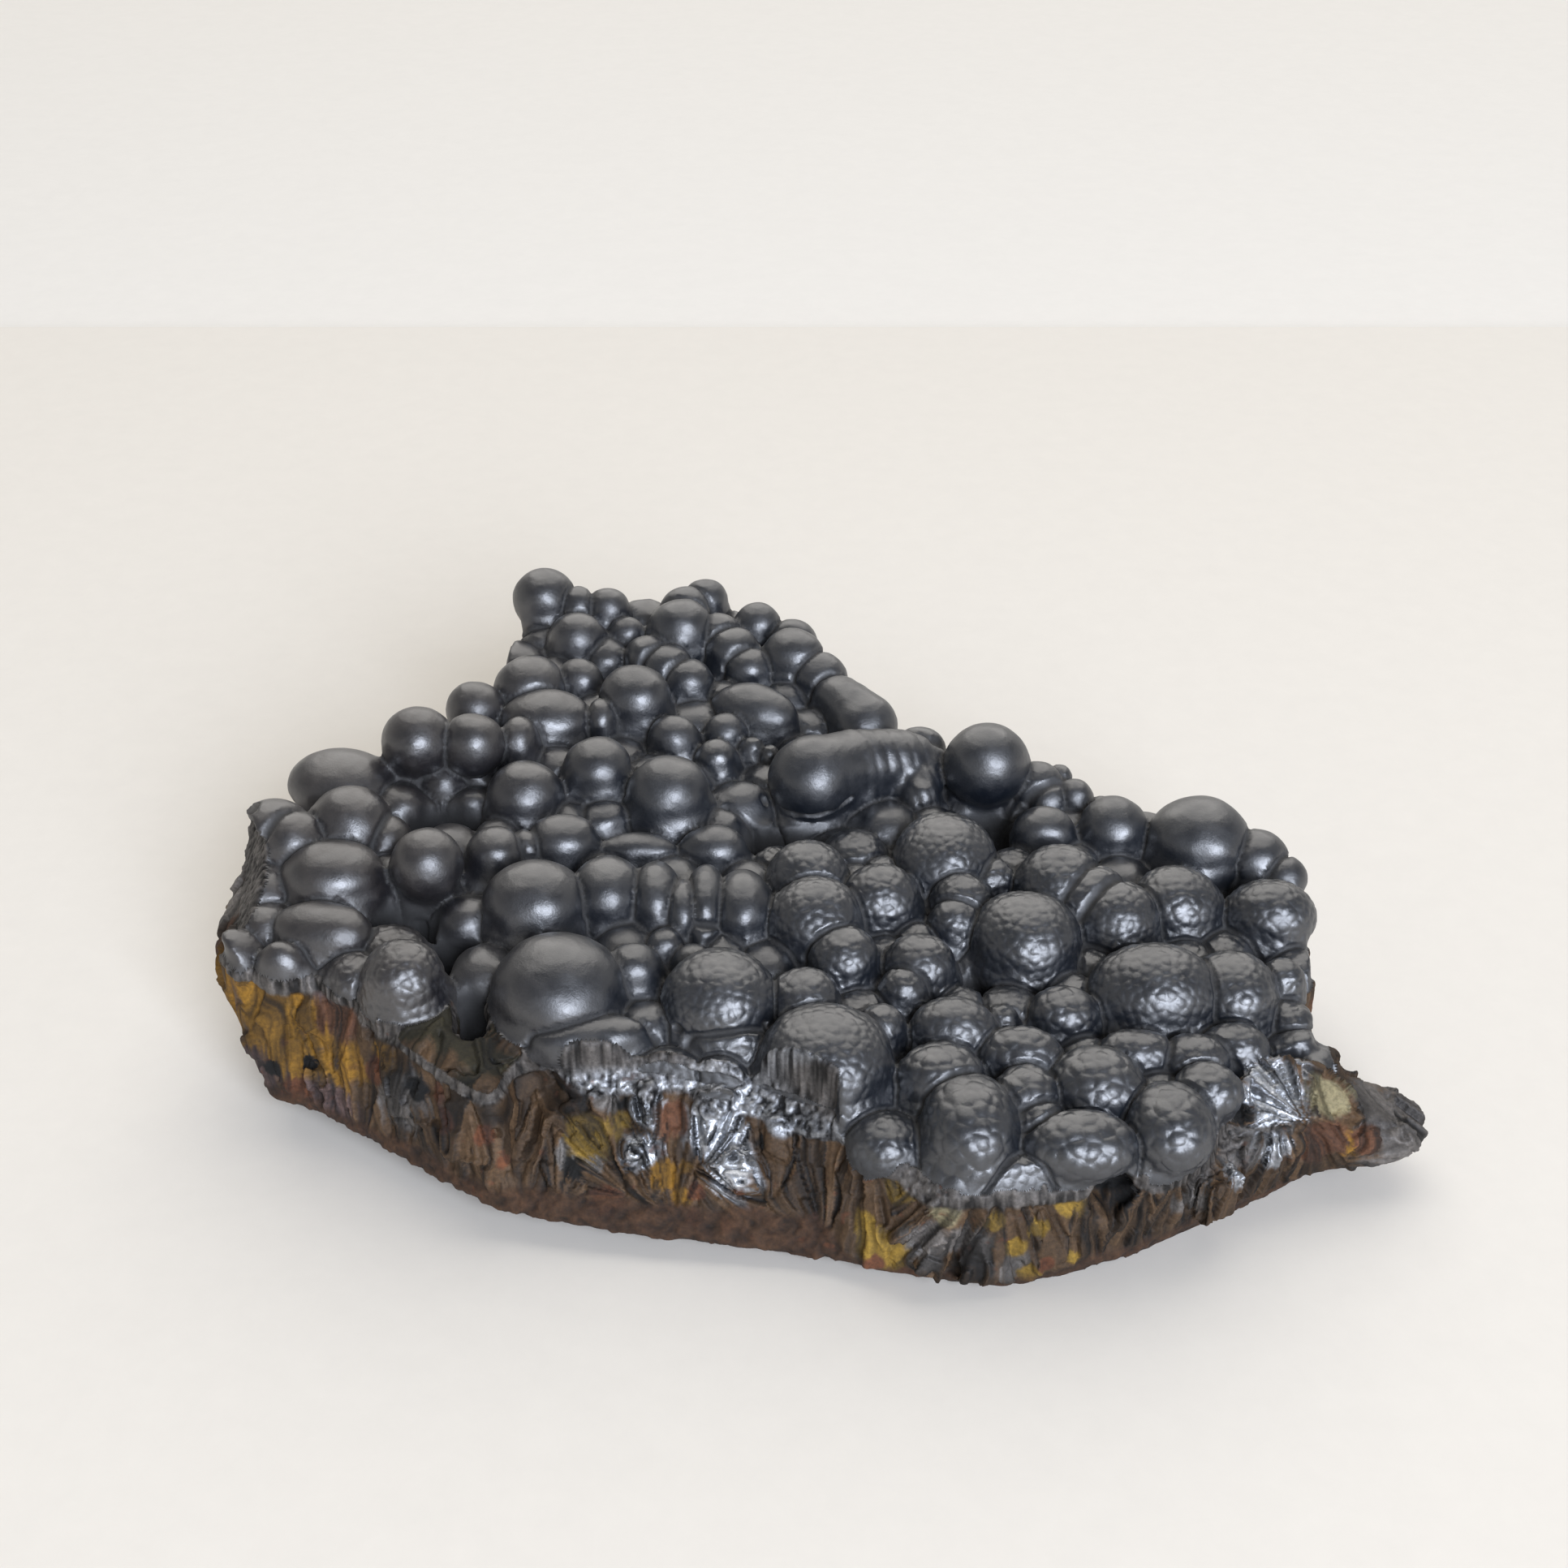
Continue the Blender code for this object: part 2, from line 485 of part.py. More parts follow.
def hematite():
    """Grey hematite with a dull metallic shine."""
    material = bpy.data.materials.new("hematite")
    material.use_nodes = True
    shader = material.node_tree.nodes["Principled BSDF"]
    shader.inputs["Base Color"].default_value = (0.05, 0.05, 0.055, 1)
    shader.inputs["Metallic"].default_value = 0.6
    shader.inputs["Roughness"].default_value = 0.42
    return material


for old in list(bpy.data.objects):
    bpy.data.objects.remove(old)

specimen = build_slab()
grow_lumps(specimen)
thin_out(specimen)
break_front(specimen)
add_fan(specimen)
add_bundles(specimen)
cut_flat(specimen)
keep_outer_skin(specimen)
middle = footprint_middle(specimen)
specimen.data.transform(Matrix.Scale(MM, 4) @ Matrix.Translation(-middle))
specimen.data.materials.append(hematite())
specimen.data.shade_smooth()
specimen.data.set_sharp_from_angle(angle=math.radians(SHARP_ANGLE))
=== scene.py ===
"""The looks of a hand-sized piece of botryoidal hematite, which lies on a sheet of off-white paper.

The stone is shaped in millimetres, with +X to the right, +Y to the back and +Z up, and every piece
is made in metres in the frame's own place.
"""
import math
from itertools import product

import bmesh
import bpy
import numpy as np
from mathutils import Matrix, Vector
from mathutils.bvhtree import BVHTree
from mathutils.kdtree import KDTree


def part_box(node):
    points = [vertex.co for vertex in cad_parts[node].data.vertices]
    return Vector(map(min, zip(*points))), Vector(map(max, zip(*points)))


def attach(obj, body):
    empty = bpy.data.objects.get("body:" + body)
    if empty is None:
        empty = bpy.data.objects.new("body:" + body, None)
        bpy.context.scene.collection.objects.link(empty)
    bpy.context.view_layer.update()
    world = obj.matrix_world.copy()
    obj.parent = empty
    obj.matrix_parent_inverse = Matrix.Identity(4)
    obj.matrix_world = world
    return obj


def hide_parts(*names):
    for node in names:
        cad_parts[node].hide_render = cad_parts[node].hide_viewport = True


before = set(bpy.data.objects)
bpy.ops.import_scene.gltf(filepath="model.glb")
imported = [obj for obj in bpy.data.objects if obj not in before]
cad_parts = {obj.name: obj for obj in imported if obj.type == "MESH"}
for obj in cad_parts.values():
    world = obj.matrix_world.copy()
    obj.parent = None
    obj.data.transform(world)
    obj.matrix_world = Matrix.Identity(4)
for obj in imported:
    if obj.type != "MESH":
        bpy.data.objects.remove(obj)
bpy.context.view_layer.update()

# The whole stone. It is one lump of iron oxide: fibres grew outwards from a few points side by
# side until their tips met in a crust of rounded lumps. The slab was then broken loose along its
# sides, and rests on its rough underside.
MM = 0.001
CRUST_LEVEL = 18.0
CRUST_CLIMB_BACK = 0.12
CRUST_CLIMB_LEFT = 0.06
GROUND_DROP = 1.5
UNDER_GROUND = -0.8
HIGH_ABOVE = 60
STEEP = 0.75

# Most lumps have grown into each other, so they are wider than listed, and each has a lower and
# wider skirt. A lump whose middle is this far over the crust's level stands free, with neither.
FREE_RISE = 1.4
LUMP_SPREAD = 1.08
SKIRT_SPREAD = 1.10
SKIRT_HEIGHT = 0.9
SKIRT_DROP = 0.45

# How finely the shapes are made.
BALL_STEPS = 4
SLAB_CELL = 0.7
CELL = 0.38

# Blocks of the slab. Each is the hull of its points, as (x, y, z). Where z is left out, the
# point is on the slab's upper face.
BLOCKS = {
    "front": [
        (-19, -30), (-11, -29.5), (-1.5, -31.5), (4, -34), (-22, -20), (4, -20),
        (-24.5, -38.8, 2.6), (-19.5, -40, 2.4), (-14.5, -40.6, 2.2), (-9.5, -40.4, 2.2),
        (-5, -40.6, 1.8), (-2.4, -41.4, 1.5), (3, -42.9, 1.4), (-20, -34, 0.6),
        (2, -38, UNDER_GROUND), (-20, -18, UNDER_GROUND), (4, -18, UNDER_GROUND),
    ],
    "front right": [
        (3.5, -34), (6, -35.5), (10, -38.4), (13, -41.6), (15, -43.8, 10.4), (19.5, -42.4, 9.9),
        (23, -42.6, 9.2), (29, -41.4, 8.2), (34, -40.6, 8.4), (37.5, -38, 8.6), (39, -33.5),
        (3, -20), (40, -20), (3, -42.9, 1.4), (7.2, -43.7, 0.9), (13, -44.3, 0.3),
        (20.2, -44.7, UNDER_GROUND), (26, -42.9, UNDER_GROUND), (31.5, -40.6, UNDER_GROUND),
        (39.3, -36.2, UNDER_GROUND), (34, -20, 0.8), (4, -20, UNDER_GROUND),
    ],
    "right foot": [
        (38, -37.2, 7.5), (41, -35.4, 8.2), (45.8, -34.6, 7.2), (50.5, -31.6, 7.6), (50, -22, 8),
        (39.5, -36.2, UNDER_GROUND), (44.6, -33.1, UNDER_GROUND), (49, -30.8, 0.4),
        (49, -21, 1.6), (38, -22, 0.6), (38, -24, 9.5),
    ],
    "tail": [
        (47, -32.5, 1.6), (52, -31.8, 1.8), (57.4, -32.2, 3), (59.8, -30.4, 4.4), (60.2, -28, 5.4),
        (57.6, -26.4, 7), (52.6, -25.6, 9), (49, -28.4, 9.8), (47, -24, 9), (50, -33, 6.4),
        (57, -32.6, 5.6), (49, -22, 1.5), (57.5, -26.5, 2.6),
    ],
    "right": [
        (48.6, -26), (47.6, -21.4), (50, -16), (51.2, -11), (51.8, -5), (50.5, -1), (46, 2.4),
        (36, 5.4), (30, 10), (20, 13.6), (8, -26), (8, 14), (46, -27, 0.4),
        (46.5, -12, 2.4), (43, -3, 1.8), (32, 3, 0.9), (18, 7, 0.7),
        (14, -26, UNDER_GROUND), (14, -4, UNDER_GROUND), (50, -22, 5), (50, -6, 7), (44, 1.5, 7),
        (30, 8.5, 8),
    ],
    "middle": [
        (-26, -30), (-32, -6), (-32, 12), (-14, 24), (6, 24), (15, 14), (16, -26), (-10, -29),
        (-24, -33, 0.8), (-30, -6, 0.4), (-28, 8, 0.7), (-20, -8, UNDER_GROUND),
        (-12, 17, 0.5), (4, 16, 0.4), (13, 8, UNDER_GROUND), (-10, 8, UNDER_GROUND),
        (16, -26, UNDER_GROUND), (-18, -28, UNDER_GROUND),
    ],
    "back": [
        (-31, 18), (-29.5, 35), (-24, 38.5), (-12, 40), (-5, 38), (3, 30), (8, 20), (-22, 8),
        (-26.5, 30, 10), (-22, 34, 9), (-9, 35, 9), (0, 29, 8), (6, 20, 7), (-28, 16, 8),
        (-23, 24, 2.2), (-10, 27, 2.6), (0, 22, 1.6), (-24, 10, 0.8), (4, 14, 0.6),
        (-33, 12), (-32, 12, 3),
    ],
    "left": [
        (-53.6, -3), (-54.4, -9), (-53.8, -14), (-52.4, -18.8), (-46, -21.8), (-38, -19), (-29, -8),
        (-29, 10), (-35, 15), (-44, 8), (-55.2, -9, 14), (-54.6, -5, 12), (-54, -17, 13),
        (-50.4, -23.2, 9.5), (-49, -24, 3.4), (-45.5, -25, 2.8), (-51, -12, 3.2), (-46, -1, 3.6),
        (-38, 6, 4), (-25, 9, 0.6), (-26, -20, 0.6), (-40, -17, 1.4), (-25, -18, 12),
        (-44, 5, 11), (-36, 12, 12), (-25, 14), (-25, 0),
    ],
    "left front": [
        (-42.6, -18), (-39.6, -20), (-38.4, -23.4), (-36.8, -25.8), (-32, -28.8), (-28.8, -33),
        (-26, -34.2), (-24.5, -30), (-29, -18), (-45.4, -24.9, 3), (-42.5, -24.7, 3.2),
        (-37.8, -26.4, 3.2), (-33, -31.2, 3), (-29.5, -34.2, 2.8), (-27.7, -37, 2.6),
        (-24.5, -38.8, 2.6), (-22, -30, 0.6), (-30, -20, 0.8), (-22, -20, 0.4),
        (-43.5, -23.5, 11),
    ],
}

# Hollows in the slab, as (x, y, rise over the crust's level, half width, depth and height).
HOLLOWS = {
    "under the left shoulder": (-34.5, 1.5, -3.2, 4.6, 2.6, 2.8),
    "valley, top": (-36.5, -13.5, -3.4, 3.6, 3.2, 3.6),
    "valley, middle": (-31.5, -17.5, -3.8, 2.8, 3.4, 4.0),
    "valley, foot": (-28.6, -24.5, -3.4, 2.2, 4.0, 3.6),
    "valley, mouth": (-26.8, -30.5, -2.8, 1.8, 3.4, 2.4),
    "under the ringed lump": (-0.5, 0.5, -3.0, 5.4, 2.6, 2.6),
    "under the dark ball": (20.5, 3.6, -3.0, 3.8, 3.4, 3.0),
    "beside the front ball": (18.8, -18.4, -2.4, 1.8, 3.0, 2.4),
    "behind the horn": (-19.0, 27.0, -2.6, 3.0, 2.6, 2.2),
    "black hole": (29.5, -43.0, -2.0, 3.4, 3.4, 2.2),
    "notch by the fan": (41.2, -36.4, -1.4, 1.1, 2.6, 1.4),
}

# Between these the valley runs out to the front. No low lumps fill it from its mouth on, and it
# is broken from its lip on.
VALLEY_LEFT = -37
VALLEY_RIGHT = -23
VALLEY_MOUTH = -22
VALLEY_LIP = -24

# The tail is broken all over from here on.
TAIL_START = 50.5
TAIL_BACK = -23

# Hollows that open to the front, through a broken side.
FRONT_HOLLOWS = ("valley, mouth", "black hole", "notch by the fan")

# Holes that are deeper than these, as (middle, half width, depth and height).
FRONT_HOLES = [
    ((28.7, -42.2, 7.9), 2.2, 4.2, 2.1),
    ((41.3, -34.6, 10.2), 0.8, 2.2, 1.3),
]

# Shallow dishes in the underside, as (x, y, half width, half depth and depth).
DISHES = {
    "front left": (-12, -24, 10, 7, 1.3),
    "middle": (-2, -6, 9, 6, 1.0),
    "right": (22, -16, 9, 8, 1.4),
    "front": (14, -36, 7, 4, 0.9),
    "left": (-18, 0, 7, 8, 1.1),
}

# Lumps of the crust, as (x, y, rise of the middle over the crust's level, half width). After
# these may come half depth and half height, and the turn about +Z in degrees.
LUMPS = {
    "left shoulder": [
        (-45.5, 5.4, -1.0, 5.1, 4.2, 3.1), (-37.7, 8.6, 2.0, 3.75), (-32.1, 8.6, 2.0, 3.3),
        (-27.6, 11.0, 0.5, 2.0, 2.6, 3.0), (-33.0, 17.2, 0.0, 2.9), (-35.4, 7.2, -2.0, 2.1),
        (-32.0, 4.5, -2.0, 1.5),
    ],
    "left end": [
        (-43.0, -2.5, 0.0, 4.0), (-39.5, -3.5, -0.5, 2.5), (-48.1, -5.8, 0.0, 3.3, 3.3, 3.6),
        (-50.4, -4.2, 0.0, 3.6), (-43.7, -9.8, 0.0, 4.7, 3.8, 3.3),
        (-43.6, -16.6, -0.5, 4.6, 2.8, 2.4, -10), (-46.8, -20.2, -2.6, 2.4, 1.8, 3.4),
        (-50.5, -10.5, -1.6, 3.4, 3.2, 2.6),
    ],
    "valley side": [
        (-34.5, -9.4, 1.5, 3.65), (-28.5, -5.5, 0.0, 2.7), (-35.0, -23.2, 0.0, 3.6),
        (-23.9, -13.0, 0.5, 4.6, 4.4, 4.2),
    ],
    "horn": [
        (-27.3, 36.7, 1.0, 3.35), (-23.3, 35.5, 0.5, 2.2, 2.2, 2.8), (-20.0, 35.8, 0.8, 2.4),
        (-17.7, 32.5, 0.0, 1.8), (-23.2, 30.5, 0.0, 3.1), (-20.0, 29.0, -1.6, 2.6),
    ],
    "second peak": [
        (-11.6, 32.0, 1.0, 3.5), (-11.3, 35.6, 1.0, 2.8), (-9.0, 38.2, 0.8, 2.5),
        (-3.0, 34.2, 0.8, 2.5), (1.0, 32.4, 0.0, 2.6), (1.0, 28.3, 0.8, 3.2), (4.0, 25.8, 0.0, 2.9),
        (-7.5, 32.0, 0.4, 2.7), (-5.7, 29.3, 0.4, 2.8), (-3.9, 26.8, 0.0, 2.5),
        (-15.0, 28.0, 0.0, 2.5), (-12.8, 26.0, 0.0, 2.8), (-10.5, 24.0, 0.0, 2.6),
    ],
    "back slope": [
        (-27.5, 21.2, 0.0, 3.6), (-22.2, 23.2, 0.0, 2.4), (-25.2, 15.9, 0.0, 4.5, 3.6, 3.3),
        (-19.3, 16.0, 0.0, 1.7, 2.4, 2.8), (-16.0, 18.9, 1.0, 3.65), (-11.6, 13.8, 0.0, 2.6),
        (-6.2, 15.5, 0.0, 2.1), (-7.0, 11.0, 0.0, 2.1), (-3.3, 13.0, 0.0, 1.3), (-1.6, 12.2, 0.0, 1.1),
        (-3.2, 19.0, 0.2, 4.6, 3.1, 3.0, -25),
    ],
    "middle left": [
        (-19.2, 7.2, 0.8, 3.4), (-18.4, 1.8, -1.0, 2.4, 2.0, 1.6), (-26.4, 3.5, 0.0, 3.6),
        (-11.7, 3.8, 0.8, 4.0), (-22.0, -3.0, 0.0, 3.4, 3.0, 2.6), (-25.5, -4.3, 0.0, 1.8),
        (-14.6, -3.0, -0.5, 3.5, 1.8, 1.6), (-7.0, -2.5, -0.5, 3.2, 2.5, 2.2),
    ],
    "ringed lump": [
        (3.0, 6.6, 1.5, 4.6), (7.2, 9.3, 1.4, 3.8), (11.6, 11.0, 0.9, 3.3), (14.6, 12.2, 0.0, 2.7),
        (14.2, 6.8, 0.0, 1.8), (8.6, 18.0, 0.0, 3.4), (6.0, 22.0, 0.0, 2.8), (14.4, 13.6, 0.0, 2.8),
    ],
    "dark ball": [
        (21.1, 9.5, 2.0, 4.5), (26.6, 9.2, -0.4, 2.8), (27.4, 7.8, -0.6, 2.4), (29.0, 10.8, 0.0, 1.4),
        (30.2, 7.8, 0.0, 1.9), (26.5, 2.0, 0.0, 3.0, 2.5, 2.5),
    ],
    "back right": [
        (33.7, 3.0, 0.0, 3.3), (42.2, 0.8, 1.0, 4.8, 4.6, 4.1), (47.7, -0.9, 0.0, 3.3),
        (50.2, -3.2, 0.0, 2.3), (38.7, -8.0, 0.0, 4.2, 4.0, 3.7), (47.8, -9.0, 0.0, 4.2, 3.8, 3.6),
        (47.4, -17.8, 0.0, 2.1),
    ],
    "middle right": [
        (16.1, -2.7, 0.0, 4.7, 5.0, 4.1, -20), (17.3, -9.0, 0.0, 2.7), (16.5, -12.0, 0.0, 2.3),
        (20.5, -5.0, -0.5, 2.2), (2.4, -6.9, 0.0, 3.8), (3.0, -13.0, 0.0, 4.3), (9.4, -9.6, 0.0, 3.7),
        (5.6, -17.8, 0.0, 3.1), (12.9, -18.2, 0.0, 3.1), (11.1, -21.5, 0.0, 2.1),
    ],
    "long front lump": [
        (23.2, -14.0, 0.0, 4.9, 4.9, 4.4), (27.3, -6.3, 0.0, 4.2), (30.2, -8.6, 0.0, 3.9),
        (32.3, -10.7, 0.0, 4.0),
    ],
    "row of narrow lumps": [
        (-17.0, -10.5, 0.0, 3.4, 4.0, 3.7), (-12.4, -10.8, 0.0, 2.4, 4.0, 3.6),
        (-9.7, -12.3, 0.0, 1.7, 3.4, 3.1), (-7.6, -11.0, 0.0, 2.0, 4.2, 3.5), (-7.7, -15.2, 0.0, 1.2),
        (-4.0, -11.5, 0.0, 2.7, 4.0, 3.5), (-11.3, -17.0, 0.0, 1.6),
    ],
    "front left": [
        (-20.8, -23.4, 0.0, 5.7, 5.6, 4.8), (-17.6, -28.8, -0.5, 5.0, 2.2, 1.9, 8),
        (-14.0, -20.5, 0.0, 2.5), (-5.9, -23.8, 0.0, 5.0, 5.0, 4.5), (-8.6, -19.0, -0.2, 1.8),
        (-5.2, -28.4, -0.8, 3.4, 1.6, 2.0),
    ],
    "front middle": [
        (3.8, -30.8, 0.0, 5.6, 5.4, 4.7), (1.8, -23.7, 0.0, 3.2), (8.8, -26.5, 0.0, 2.2),
        (15.5, -26.2, 0.0, 3.7, 3.0, 2.9), (20.2, -24.5, 0.0, 1.4), (14.0, -32.0, 0.0, 3.6, 3.2, 2.9),
        (16.3, -37.3, 0.0, 4.0, 4.8, 3.7), (21.5, -29.0, 0.0, 3.6, 2.6, 2.6),
        (21.5, -33.8, 0.0, 2.7, 2.8, 2.6), (22.6, -36.8, -0.2, 2.1), (26.0, -23.5, 0.0, 3.0, 2.6, 2.4),
    ],
    "front right": [
        (34.7, -20.3, 0.0, 5.8, 4.8, 4.6), (42.3, -19.6, 0.0, 3.9, 4.0, 3.6),
        (41.5, -26.3, -0.5, 3.0, 2.2, 2.2), (32.3, -28.0, 0.0, 3.4, 2.2, 2.1),
        (37.2, -28.3, 0.0, 3.3, 2.2, 2.0), (28.0, -32.3, 0.0, 4.0, 3.6, 3.4),
        (34.0, -36.8, 0.0, 3.6, 4.2, 3.6), (38.0, -32.5, 0.0, 3.0, 2.6, 2.6),
        (25.8, -39.4, 0.0, 4.6, 3.0, 3.0),
    ],
}

# Lumps of this group run on into the next one, where it is near, as one ridge. The first few of
# them have fine rings around them.
RIDGE = "ringed lump"
RIDGE_REACH = 6.0
RIDGE_WAIST = 0.97
RINGED_LUMPS = 4
RING_SPACING = 1.5
RING_START = 4.2
RING_DEPTH = 0.14

# Low lumps fill the gaps that are wider than this between the others. The gaps are looked for at
# steps over the whole stone, where the slab's upper face is level and no hollow is near.
GAP = 0.6
GAP_STEP = 0.8
GAP_X = (-56, 60)
GAP_Y = (-44, 42)
GAP_SLACK = 0.3
LEVEL_FACE = 0.9
HOLLOW_MARGIN = 0.8
LUMP_COVERS = 0.97
FILLER_OVERLAP = 1.5
FILLER_LARGEST = 3.4
FILLER_HEIGHT = 0.85
FILLER_SINK = 0.8
FILLER_LIFT = 0.1
FILLER_UNEVEN = 0.3

# A ball that is broken through its middle, and the ways that the broken face and the break
# under it look.
FAN_MIDDLE = (46.2, -33.4, 9.1)
FAN_RADIUS = 6.4
FAN_FACE = (0.10, -0.50, 0.86)
FAN_FOOT = (0.10, -0.90, -0.42)
FAN_FACE_DEPTH = 0.45
FAN_MARGIN = 0.2

# Outlines of the bundles of crystals that stand out of the broken sides.
BUNDLES = {
    "silver fan": [(-6.9, -35.9, 7.5), (-3.9, -32.2, 11.7), (-5.9, -31.8, 11.9), (-8.1, -31.9, 11.5)],
    "silver foot": [
        (-7.0, -36.6, 6.9), (-4.2, -38.6, 5.2), (-1.2, -38.4, 5.4), (-2.0, -36.6, 7.0),
        (-4.4, -35.4, 8.2),
    ],
    "gold fan": [(-15.7, -35.3, 6.7), (-17.7, -31.4, 10.5), (-19.2, -31.4, 10.2), (-20.1, -31.8, 9.7)],
    "grey block": [(-16.4, -33.0, 9.0), (-15.6, -32.0, 10.2), (-15.9, -31.2, 11.0), (-17.3, -31.2, 10.8)],
    "plume": [(-11.7, -34.4, 8.3), (-11.4, -31.0, 11.9), (-13.3, -30.9, 11.8)],
    "plume foot": [(-14.3, -35.6, 6.6), (-12.0, -35.8, 6.8), (-12.2, -34.2, 8.2), (-14.4, -34.2, 7.9)],
    "dark columns": [(-1.6, -36.4, 7.6), (0.6, -37.0, 7.0), (0.2, -34.0, 10.2), (-1.6, -33.6, 10.4)],
    "left chunk": [
        (-42.4, -23.2, 10.2), (-38.6, -23.2, 12.2), (-40.4, -20.2, 14.6), (-44.6, -19.6, 14.6),
        (-45.4, -22.2, 11.4),
    ],
    "ochre block": [(-49.8, -22.6, 5.0), (-45.5, -22.5, 6.0), (-46.5, -20.5, 9.5), (-50.8, -19.0, 8.5)],
    "ochre foot": [(-44.6, -24.8, 5.4), (-40.2, -25.2, 6.0), (-40.0, -23.8, 8.0), (-44.6, -23.5, 7.4)],
    "left corner": [(-52.6, -16.0, 11.2), (-50.4, -18.8, 11.0), (-49.5, -16.8, 15.0), (-52.2, -13.0, 15.2)],
    "left fibres": [(-35.4, -29.6, 7.0), (-31.0, -32.4, 8.0), (-32.6, -28.6, 12.6), (-36.0, -26.8, 12.6)],
    "valley fibres": [(-29.6, -34.4, 6.0), (-25.8, -36.6, 6.8), (-27.0, -33.4, 11.6), (-30.4, -31.0, 12.2)],
    "gold strip": [(8.3, -43.6, 5.0), (9.6, -43.6, 4.4), (13.6, -42.2, 8.0), (13.0, -42.0, 8.9)],
    "right cone": [(15.1, -42.1, 8.0), (10.6, -44.0, 2.7), (13.1, -44.1, 0.9)],
    "wide cone": [(17.6, -42.2, 6.6), (14.2, -44.0, 0.8), (20.4, -43.4, 0.4)],
    "front cone": [(21.6, -41.8, 8.2), (21.6, -43.2, 0.8), (25.6, -42.2, 0.8)],
    "facet": [(36.4, -38.8, 2.6), (39.6, -36.8, 2.6), (40.0, -36.8, 7.4), (36.6, -38.8, 7.6)],
}
BUNDLE_RISE = 1.8
BUNDLE_ROOT = 2.5
BUNDLE_TAPER = 0.9

# Spaces outside the slab where the crust broke off in one clean break: in front of the middle
# and at the left end. Each is its points, and the way from it into the stone.
BREAKS = [
    ([
        (-26, -35, 14.5), (-19, -31, 13.5), (-11, -30.4, 13), (-1.5, -32.3, 12.4), (4.5, -35.4, 12.6),
        (-26, -35, 24), (-19, -31, 24), (-11, -30.4, 24), (-1.5, -32.3, 24), (4.5, -35.4, 24),
        (-26, -44, 4), (-11, -44, 4), (4.5, -46, 4), (-26, -50, 24), (4.5, -50, 24),
    ], (0.0, 1.0, -1.0)),
    ([
        (-50.2, -3.5, 23), (-49.6, -12, 20.6), (-51.0, -19, 17.2), (-54.6, -14.5, 13.6), (-55.4, -5, 14.2),
        (-53.8, -1.5, 19), (-60, -3, 28), (-60, -20, 24), (-64, -14, 14), (-64, -4, 14),
    ], (0.9, 0.3, -0.4)),
]
BREAK_DEPTH = 0.3
BREAK_FACING = 0.4

# Cracks in the crust, each as points on its line.
CRACKS = [
    [(-2.2, 5.6, 18.2), (0.5, 3.2, 18.0), (3.6, 2.4, 18.3), (7.0, 4.4, 19.0)],
    [(-9.8, -27.6, 15.4), (-6.0, -28.9, 14.6), (-1.8, -27.2, 15.4)],
]


def crust_level(x, y):
    """Height of the crust over the ground."""
    return CRUST_LEVEL + CRUST_CLIMB_BACK * y - CRUST_CLIMB_LEFT * x


def add_hull(bm, points):
    """Adds the convex hull of the points to bm."""
    hull = bmesh.new()
    for point in points:
        hull.verts.new(point)
    result = bmesh.ops.convex_hull(hull, input=hull.verts)
    loose = [v for v in result["geom_interior"] if isinstance(v, bmesh.types.BMVert)]
    bmesh.ops.delete(hull, geom=list(set(loose)), context="VERTS")
    bmesh.ops.recalc_face_normals(hull, faces=hull.faces)
    add_to(bm, hull)


def add_to(bm, other):
    """Adds the other shape to bm, and frees the other."""
    part = bpy.data.meshes.new("part")
    other.to_mesh(part)
    other.free()
    bm.from_mesh(part)
    bpy.data.meshes.remove(part)


def mesh_of(bm):
    """A mesh made from bm, which is freed."""
    mesh = bpy.data.meshes.new("stone")
    bm.to_mesh(mesh)
    bm.free()
    return mesh


def fused(mesh, cell):
    """One skin around all the closed shapes in the mesh, which is removed."""
    obj = bpy.data.objects.new("stone", mesh)
    bpy.context.scene.collection.objects.link(obj)
    remesh = obj.modifiers.new("fuse", "REMESH")
    remesh.mode = "VOXEL"
    remesh.voxel_size = cell
    shape = obj.evaluated_get(bpy.context.evaluated_depsgraph_get())
    skin = bpy.data.meshes.new_from_object(shape)
    bpy.data.objects.remove(obj)
    bpy.data.meshes.remove(mesh)
    return skin


def places_of(mesh):
    """The mesh's vertices as an array of rows."""
    places = np.empty(len(mesh.vertices) * 3, dtype=np.float32)
    mesh.vertices.foreach_get("co", places)
    return places.reshape(-1, 3).astype(float)


def put_places(mesh, places):
    """Moves the mesh's vertices to the places."""
    mesh.vertices.foreach_set("co", places.astype(np.float32).ravel())
    mesh.update()


def dent(places, middle, half_sizes, way):
    """Moves the places that are inside an ellipsoid along the way, out through its far side."""
    q = (places - middle) / half_sizes
    w = np.array(way) / half_sizes
    inside = (q * q).sum(axis=1) < 1
    q = q[inside]
    along = q @ w
    size = w @ w
    step = (-along + np.sqrt(along ** 2 - size * ((q * q).sum(axis=1) - 1))) / size
    places[inside] += step[:, None] * np.array(way)


def blank_mesh(lift=0.0):
    """The slab's blocks in one skin, with their upper face lifted."""
    bm = bmesh.new()
    for points in BLOCKS.values():
        filled = []
        for point in points:
            if len(point) == 2:
                filled.append(Vector((*point, crust_level(*point) - GROUND_DROP)))
                if lift:
                    filled.append(filled[-1] + Vector((0, 0, lift)))
            else:
                filled.append(Vector(point))
        add_hull(bm, filled)
    return fused(mesh_of(bm), SLAB_CELL)


def slab_mesh():
    """The slab with its hollows and dishes."""
    slab = blank_mesh()
    places = places_of(slab)
    for name, (x, y, rise, *sizes) in HOLLOWS.items():
        way = (0, 1, 0) if name in FRONT_HOLLOWS else (0, 0, -1)
        dent(places, (x, y, crust_level(x, y) + rise), sizes, way)
    for x, y, *sizes in DISHES.values():
        dent(places, (x, y, 0), sizes, (0, 0, 1))
    put_places(slab, places)
    return slab


